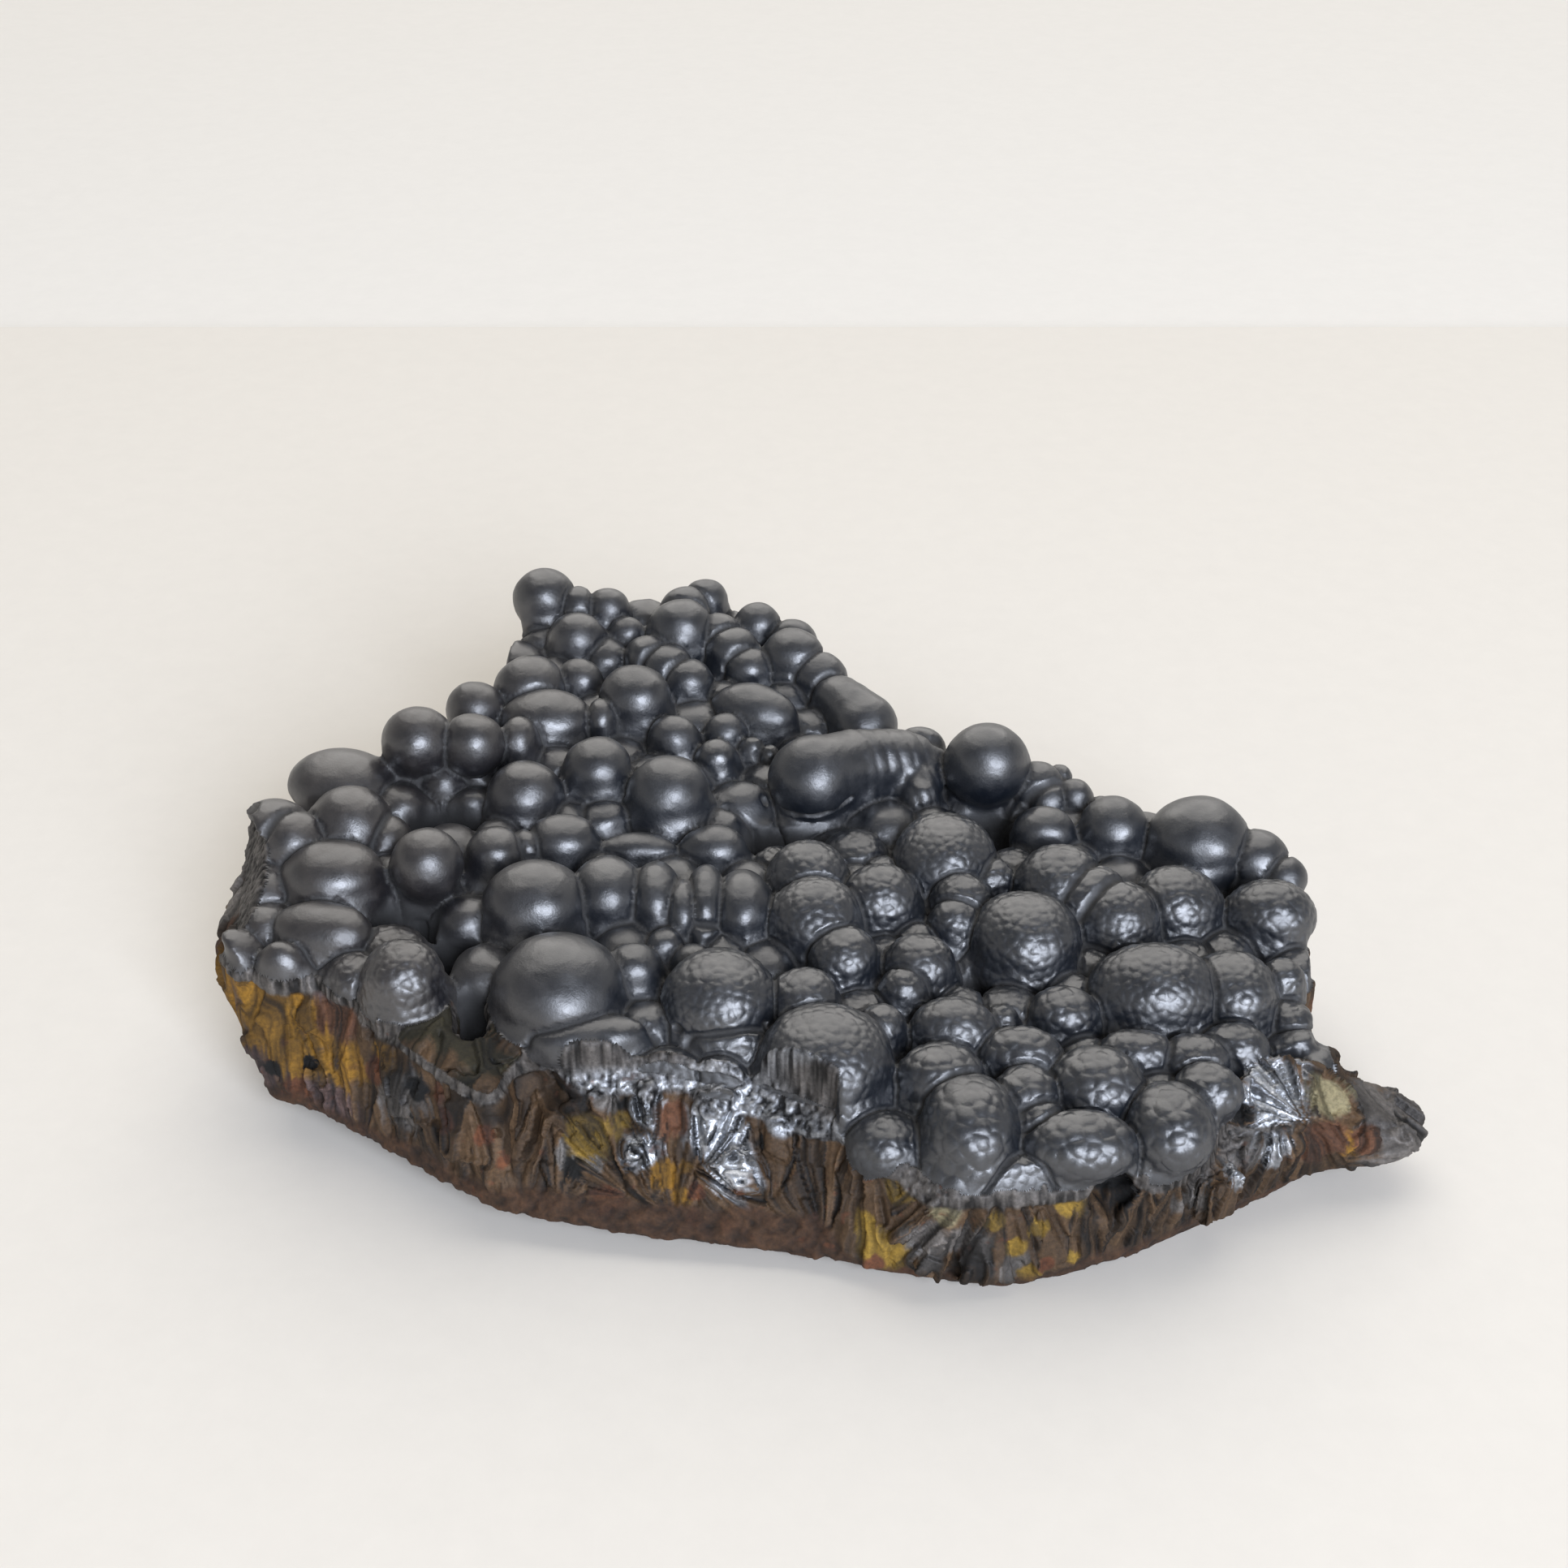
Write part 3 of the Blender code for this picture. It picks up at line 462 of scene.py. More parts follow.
def scatter(keys, seed=0):
    """A fixed random value from 0 to 1 for each row of whole numbers."""
    mixed = np.full(len(keys), 1469598103 + seed * 7919, dtype=np.uint64)
    for column in keys.T:
        mixed = (mixed ^ column.astype(np.int64).astype(np.uint64)) * np.uint64(0x9E3779B97F4A7C15)
        mixed = mixed ^ (mixed >> np.uint64(29))
    return (mixed >> np.uint64(40)).astype(float) / 2 ** 24


def noise(points, size, seed=0):
    """Smooth random values from -1 to 1 over the points, which change over the given size."""
    spots = points / size
    cells = np.floor(spots)
    rest = spots - cells
    rest = rest * rest * (3 - 2 * rest)
    total = np.zeros(len(points))
    for corner in product((0, 1), repeat=points.shape[1]):
        share = np.where(np.array(corner) == 1, rest, 1 - rest).prod(axis=1)
        total += share * scatter(cells + corner, seed)
    return total * 2 - 1


def in_ellipsoid(places, middle, half_sizes, margin=1.0):
    """Which places are inside the ellipsoid, grown by the margin."""
    return (((places - middle) / half_sizes) ** 2).sum(axis=1) < margin ** 2


def tree_of(mesh):
    """A search tree of the mesh's faces."""
    return BVHTree.FromPolygons(places_of(mesh).tolist(), [list(p.vertices) for p in mesh.polygons])


def lump_balls():
    """The lumps, each as (middle, half sizes, turn in degrees, number)."""
    balls = []
    for lumps in LUMPS.values():
        for x, y, rise, *sizes in lumps:
            turn = sizes[3] if len(sizes) > 3 else 0.0
            wide, deep, tall = sizes[:3] if len(sizes) >= 3 else (sizes[0],) * 3
            spread = LUMP_SPREAD if rise < FREE_RISE else 1.0
            half_sizes = (wide * spread, deep * spread, tall)
            balls.append(((x, y, crust_level(x, y) + rise), half_sizes, turn, len(balls)))
    return balls


def ridge_steps():
    """The spots of each lump of the ridge and of the next one near it."""
    spots = [lump[:2] for lump in LUMPS[RIDGE]]
    return [step for step in zip(spots, spots[1:]) if math.dist(*step) < RIDGE_REACH]


def ridge_balls(balls):
    """What joins the lumps of the ridge."""
    between = []
    ball_at = {ball[0][:2]: ball for ball in balls}
    for spot, next_spot in ridge_steps():
        (middle, sizes, _, number), (other, others, _, _) = ball_at[spot], ball_at[next_spot]
        for share in (0.33, 0.67):
            place = tuple(a + (b - a) * share for a, b in zip(middle, other))
            width = (sizes[0] + (others[0] - sizes[0]) * share) * RIDGE_WAIST
            between.append((place, (width,) * 3, 0.0, number))
    return between


def same_ridge(balls):
    """The balls with one number for those of the ridge that join, so that no crease parts them."""
    number_at = {ball[0][:2]: ball[3] for ball in reversed(balls)}
    joined = {}
    for spot, next_spot in ridge_steps():
        first = number_at[spot]
        joined[number_at[next_spot]] = joined.get(first, first)
    return [(*ball[:3], joined.get(ball[3], ball[3])) for ball in balls]


def skirt_balls(lumps):
    """A low and wide foot for each lump that doesn't stand free, with the lump's own number."""
    skirts = []
    for (x, y, z), (wide, deep, tall), turn, number in lumps:
        if z - crust_level(x, y) < FREE_RISE:
            half_sizes = (wide * SKIRT_SPREAD, deep * SKIRT_SPREAD, tall * SKIRT_HEIGHT)
            skirts.append(((x, y, z - tall * SKIRT_DROP), half_sizes, turn, number))
    return skirts


def near_hollow(x, y):
    """Whether the spot is over one of the hollows or beside it, or where the valley opens."""
    if VALLEY_LEFT < x < VALLEY_RIGHT and y < VALLEY_MOUTH:
        return True
    for hx, hy, _, wide, deep, _ in HOLLOWS.values():
        if math.hypot((x - hx) / (wide + HOLLOW_MARGIN), (y - hy) / (deep + HOLLOW_MARGIN)) < 1:
            return True
    return False


def filler_balls(balls, slab_tree):
    """Low lumps for the gaps between the others, the widest gap first."""
    spots = []
    for x, y in product(np.arange(*GAP_X, GAP_STEP), np.arange(*GAP_Y, GAP_STEP)):
        hit, normal, _, _ = slab_tree.ray_cast(Vector((x, y, HIGH_ABOVE)), Vector((0, 0, -1)))
        if hit and normal.z > LEVEL_FACE and crust_level(x, y) - hit.z < GROUND_DROP + GAP_SLACK:
            if not near_hollow(x, y):
                spots.append((x, y))
    spots = np.array(spots)
    spots = spots + 0.5 * GAP_STEP * np.stack([noise(spots, 0.7, 1), noise(spots, 0.7, 2)], axis=1)
    gaps = np.full(len(spots), np.inf)
    for (x, y, _), (wide, deep, _), _, _ in balls:
        gaps = np.minimum(gaps, np.hypot(*(spots - (x, y)).T) - (wide + deep) / 2 * LUMP_COVERS)
    number = max(ball[3] for ball in balls)
    fillers = []
    while gaps.max() > GAP:
        index = gaps.argmax()
        size = min(gaps[index] + FILLER_OVERLAP, FILLER_LARGEST)
        x, y = spots[index]
        number += 1
        uneven = FILLER_UNEVEN * noise(spots[index:index + 1], 1.7, 3)[0]
        sink = FILLER_SINK * size - FILLER_LIFT + uneven
        half_sizes = (size, size, size * FILLER_HEIGHT)
        fillers.append(((x, y, crust_level(x, y) - sink), half_sizes, 0.0, number))
        gaps = np.minimum(gaps, np.hypot(*(spots - (x, y)).T) - size)
    return fillers


TRIM_FROM = 0.5
TRIM_SLACK = 0.05


def trim_to_sides(mesh, blank_tree):
    """Pulls back what reaches past the sides of the slab's blank."""
    places = places_of(mesh)
    for index in np.nonzero(places[:, 2] > TRIM_FROM)[0]:
        place = Vector(places[index])
        spot, normal, _, distance = blank_tree.find_nearest(place)
        outside = distance > TRIM_SLACK and (place - spot).dot(normal) > 0
        if outside and abs(normal.z) < STEEP:
            places[index] = spot
    put_places(mesh, places)


def balls_and(mesh, balls):
    """A mesh of the balls and the given mesh together. The given mesh is removed."""
    ball = bmesh.new()
    bmesh.ops.create_icosphere(ball, subdivisions=BALL_STEPS, radius=1.0)
    round_places = np.array([v.co for v in ball.verts])
    round_faces = np.array([[v.index for v in f.verts] for f in ball.faces])
    ball.free()
    places = [places_of(mesh)]
    faces = [list(p.vertices) for p in mesh.polygons]
    count = len(places[0])
    for middle, half_sizes, turn, _ in balls:
        spin = np.array(Matrix.Rotation(math.radians(turn), 3, "Z"))
        places.append(round_places * half_sizes @ spin.T + middle)
        faces.extend((round_faces + count).tolist())
        count += len(round_places)
    bpy.data.meshes.remove(mesh)
    together = bpy.data.meshes.new("stone")
    together.from_pydata(np.concatenate(places).tolist(), [], faces)
    return together


def break_planes():
    """For each break, the planes around its space and the ones of them that face the stone."""
    for points, way in BREAKS:
        hull = bmesh.new()
        add_hull(hull, [Vector(point) for point in points])
        planes = np.array([(*f.normal, f.normal.dot(f.verts[0].co)) for f in hull.faces])
        hull.free()
        yield planes, planes[:, :3] @ np.array(way) > BREAK_FACING


def break_off(mesh):
    """Shaves the mesh down to the clean breaks."""
    places = places_of(mesh)
    for planes, facing in break_planes():
        depth = places @ planes[:, :3].T - planes[:, 3]
        inside = (depth < 0).all(axis=1)
        depth[:, ~facing] = -np.inf
        nearest = depth.argmax(axis=1)
        step = -depth[np.arange(len(places)), nearest][inside]
        places[inside] += planes[nearest[inside], :3] * step[:, None]
    put_places(mesh, places)


def add_fan(bm):
    """Adds the ball that is broken through its middle."""
    ball = bmesh.new()
    place = Matrix.Translation(FAN_MIDDLE)
    bmesh.ops.create_icosphere(ball, subdivisions=BALL_STEPS, radius=FAN_RADIUS, matrix=place)
    for way in (FAN_FACE, FAN_FOOT):
        everything = ball.verts[:] + ball.edges[:] + ball.faces[:]
        normal = Vector(way).normalized()
        cut = bmesh.ops.bisect_plane(
            ball, geom=everything, plane_co=FAN_MIDDLE, plane_no=normal, clear_outer=True)
        rim = [e for e in cut["geom_cut"] if isinstance(e, bmesh.types.BMEdge)]
        bmesh.ops.contextual_create(ball, geom=rim)
    add_to(bm, ball)


def add_bundles(bm):
    """Adds the bundles of crystals to bm."""
    for outline in BUNDLES.values():
        outline = [Vector(point) for point in outline]
        middle = sum(outline, Vector()) / len(outline)
        out = (outline[1] - outline[0]).cross(outline[-1] - outline[0]).normalized()
        outer = [middle + (point - middle) * BUNDLE_TAPER + out * BUNDLE_RISE for point in outline]
        inner = [point - out * BUNDLE_ROOT for point in outline]
        add_hull(bm, outer + inner)


BLANK_LIFT = 5.0


def stone_mesh():
    """The whole stone in one skin, without its fine texture."""
    slab = slab_mesh()
    lumps = lump_balls()
    feet = skirt_balls(lumps)
    feet += filler_balls(lumps + feet, tree_of(slab))
    lumps += ridge_balls(lumps)
    ground = fused(balls_and(slab, feet), CELL)
    trim_to_sides(ground, tree_of(blank_mesh(BLANK_LIFT)))
    stone = fused(balls_and(ground, lumps), CELL)
    break_off(stone)
    bm = bmesh.new()
    bm.from_mesh(stone)
    add_fan(bm)
    add_bundles(bm)
    stone = fused(mesh_of(bm), CELL)
    places = places_of(stone)
    for middle, *half_sizes in FRONT_HOLES:
        dent(places, middle, half_sizes, (0, 1, 0))
    places[:, 2] = np.maximum(places[:, 2], 0)
    put_places(stone, places)
    return stone, same_ridge(lumps + feet)


def edges_of(mesh):
    """The pairs of vertices that the mesh's edges join."""
    pairs = np.empty(len(mesh.edges) * 2, dtype=np.int32)
    mesh.edges.foreach_get("vertices", pairs)
    return pairs.reshape(-1, 2)


def evened(values, pairs, times, share=0.5):
    """The values after each has moved towards the mean of its neighbours that many times."""
    ends = np.concatenate([pairs[:, 0], pairs[:, 1]])
    others = np.concatenate([pairs[:, 1], pairs[:, 0]])
    number = len(values)
    near = np.maximum(np.bincount(ends, minlength=number), 1)
    values = values.reshape(number, -1).astype(float)
    for _ in range(times):
        mean = np.empty_like(values)
        for column in range(values.shape[1]):
            mean[:, column] = np.bincount(ends, values[others, column], number) / near
        values = values + (mean - values) * share
    return values if values.shape[1] > 1 else values[:, 0]


def ramp(values, low, high):
    """Goes smoothly from 0 at low to 1 at high."""
    t = np.clip((values - low) / (high - low), 0, 1)
    return t * t * (3 - 2 * t)


def unit(vectors):
    """The vectors at length 1."""
    return vectors / np.maximum(np.linalg.norm(vectors, axis=-1, keepdims=True), 1e-9)


def normals_of(places, faces):
    """The smooth normal at each place of a mesh of triangles."""
    corners = places[faces]
    cross = np.cross(corners[:, 1] - corners[:, 0], corners[:, 2] - corners[:, 0])
    total = np.zeros_like(places)
    for column in range(3):
        weights = np.tile(cross[:, column], 3)
        total[:, column] = np.bincount(faces.T.ravel(), weights, len(places))
    return unit(total)


def lump_distance(places, balls):
    """How far each place is outside the nearest lump, and the next one, and the nearest's number."""
    first = np.full(len(places), 9.0)
    second = np.full(len(places), 9.0)
    owner = np.full(len(places), -1)
    for middle, half_sizes, turn, number in balls:
        offset = places - middle
        close = np.nonzero((np.abs(offset) < max(half_sizes) * 1.3 + 0.5).all(axis=1))[0]
        spin = np.array(Matrix.Rotation(math.radians(turn), 3, "Z"))
        local = offset[close] @ spin
        size = np.linalg.norm(local, axis=1)
        share = np.maximum(np.linalg.norm(local / half_sizes, axis=1), 1e-6)
        outside = size * (1 - 1 / share)
        own = owner[close] == number
        nearer = outside < first[close]
        taken = close[nearer & ~own]
        second[taken] = first[taken]
        owner[taken] = number
        first[close[nearer]] = outside[nearer]
        next_one = close[~nearer & ~own]
        second[next_one] = np.minimum(second[next_one], outside[~nearer & ~own])
    return first, second, owner


def divided(mesh, fine):
    """The mesh with the faces between the fine vertices divided into four."""
    bm = bmesh.new()
    bm.from_mesh(mesh)
    edges = [e for e in bm.edges if fine[e.verts[0].index] and fine[e.verts[1].index]]
    bmesh.ops.subdivide_edges(bm, edges=edges, cuts=1, use_grid_fill=True)
    bmesh.ops.triangulate(bm, faces=bm.faces)
    bpy.data.meshes.remove(mesh)
    return mesh_of(bm)


def triangles_of(mesh):
    """The mesh's triangles as rows of three vertices."""
    faces = np.empty(len(mesh.polygons) * 3, dtype=np.int32)
    mesh.loops.foreach_get("vertex_index", faces)
    return faces.reshape(-1, 3)


# How far under the crust's level the broken sides begin, and where they begin higher or lower.
SIDE_SINK = 1.6
SIDE_WAVER = 0.3
FOREMOST_SINK = 2.0
TAIL_SINK = 0.5
VALLEY_SINK = 1.2

# A gap between lumps isn't a broken side. Down to this depth, a broken side has a steep side of the
# slab near it, and no hollow.
NEAR_CRUST = 4.0
NEAR_SLAB = 0.7
HOLLOW_REACH = 1.25

# The stone's foremost parts are in front of these edges, but not where it bulges forward.
FRONT_EDGE = -31
BULGE_LEFT = 5
BULGE_RIGHT = 36
LEFT_END = -36
LEFT_END_EDGE = -20.5

# Skin that is turned down further than this is the underside. Skin that is turned back further
# than this is hidden, unless it is turned left.
TURNED_DOWN = -0.72
TURNED_BACK = 0.3
TURNED_LEFT = -0.5
ON_PAPER = 0.05

PEBBLED_GROUPS = ("front middle", "front right", "long front lump", "middle right")
PEBBLED_LUMPS = [
    (-35.0, -23.2), (38.7, -8.0), (47.8, -9.0), (47.4, -17.8), (-5.9, -23.8), (-5.2, -28.4),
]


def region_masks(places, broad):
    """Which places are on a broken side, and which on the underside."""
    x, y, z = places.T
    sink = crust_level(x, y) - z
    side = sink > SIDE_SINK + SIDE_WAVER * noise(places, 2.2, 11)
    for name, (hx, hy, rise, *sizes) in HOLLOWS.items():
        if name not in FRONT_HOLLOWS:
            side &= ~in_ellipsoid(places, (hx, hy, crust_level(hx, hy) + rise), sizes, HOLLOW_REACH)
    slab_tree = tree_of(slab_mesh())
    for index in np.nonzero(side & (sink < NEAR_CRUST))[0]:
        _, normal, _, distance = slab_tree.find_nearest(places[index].tolist())
        side[index] = distance < NEAR_SLAB and normal.z < STEEP
    side |= on_clean_break(places)
    side |= on_fan(places)
    side |= (x > TAIL_START) & (y < TAIL_BACK) & (sink > TAIL_SINK)
    side |= (x > VALLEY_LEFT) & (x < VALLEY_RIGHT) & (y < VALLEY_LIP) & (sink > VALLEY_SINK)
    foremost = (y < FRONT_EDGE) & ((x < BULGE_LEFT) | (x > BULGE_RIGHT))
    foremost |= (x < LEFT_END) & (y < LEFT_END_EDGE)
    side |= foremost & (sink > FOREMOST_SINK)
    under = (broad[:, 2] < TURNED_DOWN) & (sink > SIDE_SINK) | (z < ON_PAPER)
    return side & ~under, under


def on_clean_break(places):
    """Which places lie on one of the clean breaks."""
    found = np.zeros(len(places), dtype=bool)
    for planes, facing in break_planes():
        depth = places @ planes[:, :3].T - planes[:, 3]
        near_face = np.abs(depth[:, facing]).min(axis=1) < BREAK_DEPTH
        found |= (depth.max(axis=1) < BREAK_DEPTH) & near_face
    return found


def to_cracks(places):
    """How far each place is from the nearest crack."""
    nearest = np.full(len(places), 9.0)
    for line in CRACKS:
        for start, end in zip(line, line[1:]):
            way = np.subtract(end, start)
            share = np.clip((places - start) @ way / (way @ way), 0, 1)
            away = np.linalg.norm(places - (np.array(start) + share[:, None] * way), axis=1)
            nearest = np.minimum(nearest, away)
    return nearest


def on_fan(places):
    """Which places lie on the broken face of the ball at the right."""
    offset = places - FAN_MIDDLE
    away = offset @ np.array(FAN_FACE) / np.linalg.norm(FAN_FACE)
    return (np.abs(away) < FAN_FACE_DEPTH) & (np.linalg.norm(offset, axis=1) < FAN_RADIUS + FAN_MARGIN)


stone, balls = stone_mesh()
pairs = edges_of(stone)
places = evened(places_of(stone), pairs, 2)
put_places(stone, places)
stone.calc_loop_triangles()
rough_faces = np.empty(len(stone.loop_triangles) * 3, dtype=np.int32)
stone.loop_triangles.foreach_get("vertices", rough_faces)
broad = unit(evened(normals_of(places, rough_faces.reshape(-1, 3)), pairs, 8))
side, under = region_masks(places, broad)

# The faces of the lumps that pebbles cover, of the broken sides that are seen, and in creases and
# cracks are divided once more.
CREASE = 0.5
CRACK = 1.0
spots = [(x, y) for lumps in LUMPS.values() for x, y, *_ in lumps]
pebbled_spots = [(x, y) for name in PEBBLED_GROUPS for x, y, *_ in LUMPS[name]] + PEBBLED_LUMPS
ball_spots = {ball[3]: ball[0][:2] for ball in reversed(balls)}
ball_is_pebbled = np.zeros(max(ball_spots) + 1, dtype=bool)
for number, spot in ball_spots.items():
    nearest_lump = min(spots, key=lambda other: math.dist(other, spot))
    ball_is_pebbled[number] = nearest_lump in pebbled_spots
first, second, owner = lump_distance(places, balls)
pebbled = ball_is_pebbled[owner]
seen_side = side & ((broad[:, 1] < TURNED_BACK) | (broad[:, 0] < TURNED_LEFT))
crease = (second - first < CREASE) & (broad[:, 1] < TURNED_BACK) | (to_cracks(places) < CRACK)
stone = divided(stone, (pebbled | seen_side | crease) & ~under)
places = places_of(stone)
pairs = edges_of(stone)
faces = triangles_of(stone)
print("stone", len(places), "places", len(faces), "faces")

# The crust. It is polished-looking black hematite, whose lumps are the round tips of bundles of
# fibres. Some lumps are smooth, and on others each finer bundle ends in a pebble of its own.
PEBBLE_SPACING = 0.82
COARSE_SPACING = 1.15
COARSE_LUMPS = [
    (16.3, -37.3), (21.5, -29.0), (21.5, -33.8), (22.6, -36.8), (28.0, -32.3), (34.0, -36.8),
    (38.0, -32.5), (25.8, -39.4), (14.0, -32.0), (26.0, -23.5),
]
PEBBLE_HEIGHT = 0.16
PEBBLE_FULL = 0.5
PEBBLE_ROUND = 0.92
PEBBLE_REACH = 0.6
PEBBLE_UNEVEN = 0.12
GROOVE = 0.5
CRACK_EDGES = (0.1, 0.55)
CRUST_WAVER = 0.15
CRUST_WAVER_FINE = 0.05


def pebble_seeds(places, wanted, spacing):
    """Spots among the wanted places that keep their spacing from each other."""
    order = np.nonzero(wanted)[0]
    order = order[scatter(order[:, None], 5).argsort()]
    taken = {}
    seeds = []
    for index in order:
        spot = places[index]
        gap = spacing[index]
        cell = tuple(np.floor(spot / COARSE_SPACING).astype(int).tolist())
        free = True
        for step in product((-1, 0, 1), repeat=3):
            for other in taken.get((cell[0] + step[0], cell[1] + step[1], cell[2] + step[2]), ()):
                if ((other - spot) ** 2).sum() < gap * gap:
                    free = False
                    break
            if not free:
                break
        if free:
            taken.setdefault(cell, []).append(spot)
            seeds.append(spot)
    return np.array(seeds)


def pebble_rise(places, wanted, spacing):
    """How far the pebbles stand out at each place."""
    seeds = pebble_seeds(places, wanted, spacing)
    tree = KDTree(len(seeds))
    for index, seed in enumerate(seeds.tolist()):
        tree.insert(seed, index)
    tree.balance()
    rise = np.zeros(len(places))
    for index in np.nonzero(wanted)[0]:
        (_, _, first), (_, _, second) = tree.find_n(places[index].tolist(), 2)
        share = 2 * first / (first + second)
        rise[index] = math.sqrt(max(0.0, 1 - share * share * PEBBLE_ROUND)) - PEBBLE_FULL
    return rise


first, second, owner = lump_distance(places, balls)
broad = unit(evened(normals_of(places, faces), pairs, 10))
side, under = region_masks(places, broad)
crust = ~side & ~under
lump_spots = np.array([ball_spots.get(number, (99, 99)) for number in range(len(ball_is_pebbled))])
coarse_lump = (np.linalg.norm(lump_spots[:, None] - np.array(COARSE_LUMPS), axis=2) < 0.1).any(axis=1)
wanted = ball_is_pebbled[owner] & crust & (first < PEBBLE_REACH)
spacing = np.where(coarse_lump[owner], COARSE_SPACING, PEBBLE_SPACING)
spacing = spacing * (1 + PEBBLE_UNEVEN * noise(places, 3.0, 3))
fade = evened(wanted.astype(float), pairs, 4)
# The crease mark cuts a groove into the crust and also paints shade into its colour, in creases between
# lumps and in cracks.
crease = 1 - ramp(second - first + 0.12 * noise(places, 1.2, 23), 0.0, CREASE)
crack = 1 - ramp(to_cracks(places) + 0.15 * noise(places, 0.9, 24), *CRACK_EDGES)
crease = np.maximum(crease, crack) * crust
rise = pebble_rise(places, wanted, spacing) * PEBBLE_HEIGHT * spacing * fade * (1 - crease)
rise += CRUST_WAVER * noise(places, 3.4, 21) * crust
rise += CRUST_WAVER_FINE * noise(places, 1.3, 22) * crust
rise -= GROOVE * crease
ridge_start, *_, ridge_end = [lump[:2] for lump in LUMPS[RIDGE][:RINGED_LUMPS]]
way = np.subtract(ridge_end, ridge_start) / math.dist(ridge_start, ridge_end)
along = (places[:, :2] - ridge_start) @ way
ridge_number = min(number for number, spot in ball_spots.items() if spot == ridge_start)
ringed = crust & (owner == ridge_number)
ring = ramp(np.cos(2 * math.pi * along / RING_SPACING + noise(places, 4.0, 25)), 0.4, 1.0)
rise -= RING_DEPTH * ring * ringed * ramp(along, RING_START, RING_START + 1)

# The broken sides. The slab broke along its fibres, so each side shows fans of splinters that
# spread from a point. Fresh breaks are silvery, and older ones are stained gold, brown and rust.
# Each fan is its point and the middle of its far end.
FANS = [
    ((-6.9, -35.9, 7.5), (-5.9, -31.8, 11.9)), ((-7.0, -36.6, 6.9), (-2.4, -37.2, 6.4)),
    ((-15.7, -35.3, 6.7), (-18.9, -31.5, 10.1)), ((-16.4, -33.4, 8.6), (-16.4, -31.4, 10.8)),
    ((-11.7, -34.6, 8.1), (-12.4, -30.9, 11.8)), ((-14.6, -35.4, 6.8), (-12.0, -35.0, 7.4)),
    ((-9.6, -36.5, 6.4), (-9.4, -31.3, 11.6)), ((-0.6, -37.5, 6.4), (-0.4, -33.6, 10.4)),
    ((3.2, -39.6, 5.0), (2.4, -35.4, 10.2)), ((-20.2, -36.4, 5.0), (-20.4, -33.2, 8.2)),
    ((-23.5, -38.0, 4.4), (-23.2, -34.5, 9.6)), ((-11.4, -37.4, 5.0), (-11.1, -35.9, 6.4)),
    ((15.1, -42.1, 8.4), (11.9, -44.0, 1.8)), ((13.4, -42.1, 8.8), (8.7, -43.4, 5.0)),
    ((17.6, -42.2, 6.6), (17.3, -43.7, 0.4)), ((19.6, -42.0, 7.6), (21.4, -43.4, 0.6)),
    ((22.2, -41.3, 7.6), (23.8, -42.6, 0.6)), ((6.5, -40.0, 10.0), (7.4, -42.6, 3.0)),
    ((26.0, -41.6, 6.4), (26.5, -42.4, 1.0)), ((30.5, -41.4, 6.0), (29.0, -41.0, 1.0)),
    ((34.5, -40.0, 6.0), (34.0, -39.0, 1.0)), ((38.5, -37.6, 6.6), (37.6, -36.6, 1.0)),
    ((46.3, -31.7, 10.1), (45.5, -29.5, 11.4)), ((44.0, -35.0, 6.4), (43.0, -34.4, 1.6)),
    ((48.0, -33.4, 6.4), (48.6, -32.0, 2.0)), ((53.0, -32.0, 4.0), (57.0, -30.0, 5.0)),
    ((-51.5, -19.6, 6.0), (-51.2, -15.0, 14.0)), ((-47.5, -24.0, 4.0), (-48.2, -20.4, 11.0)),
    ((-43.0, -24.6, 4.4), (-44.4, -22.6, 9.0)), ((-42.0, -24.0, 8.8), (-42.0, -20.5, 13.8)),
    ((-38.5, -26.5, 4.6), (-38.4, -23.6, 11.4)), ((-34.4, -29.5, 4.6), (-34.6, -27.0, 11.8)),
    ((-29.6, -34.4, 4.4), (-30.4, -30.6, 11.6)), ((-26.6, -37.0, 4.2), (-27.2, -33.6, 10.8)),
]

# Feet of the fans on the sides that look left, right and back, as (x, y, z).
HIDDEN_FEET = [
    (-53.4, -13, 6), (-53.8, -6, 6), (-46, 0, 6), (-41, 6, 6), (-34, 12, 5), (-32, 19, 5),
    (-29, 27, 6), (-26, 34, 8), (-18, 38, 8), (-9, 38, 8), (-1, 36, 8), (4, 29, 7), (8, 21, 6),
    (16, 14.5, 5), (24, 12, 5), (31, 9, 5), (38, 5.5, 5), (45, 2.5, 5), (50, -3, 6), (51.5, -10, 6),
    (50.5, -17, 6), (50, -23, 5), (54, -27, 4), (59, -28, 4),
]

# Colours of each tone, darker and lighter, and how much it shines.
TONES = {
    "plain": ("#0E0906", "#5E4832", 0.35),
    "silver": ("#2A2B2E", "#D8DCE2", 0.95),
    "grey": ("#1A1817", "#77726E", 0.5),
    "gold": ("#30250E", "#97792E", 0.2),
    "pale gold": ("#3C3828", "#9A9070", 0.4),
    "ochre": ("#2C1E0A", "#8F6820", 0.1),
    "tan": ("#20160F", "#6B4630", 0.15),
    "mauve": ("#231B1B", "#66524E", 0.25),
    "rust": ("#26150E", "#6A4028", 0.1),
    "black": ("#010101", "#070606", 0.1),
    "rock": ("#170C06", "#513622", 0.05),
    "olive": ("#0B0A06", "#35301E", 0.3),
}
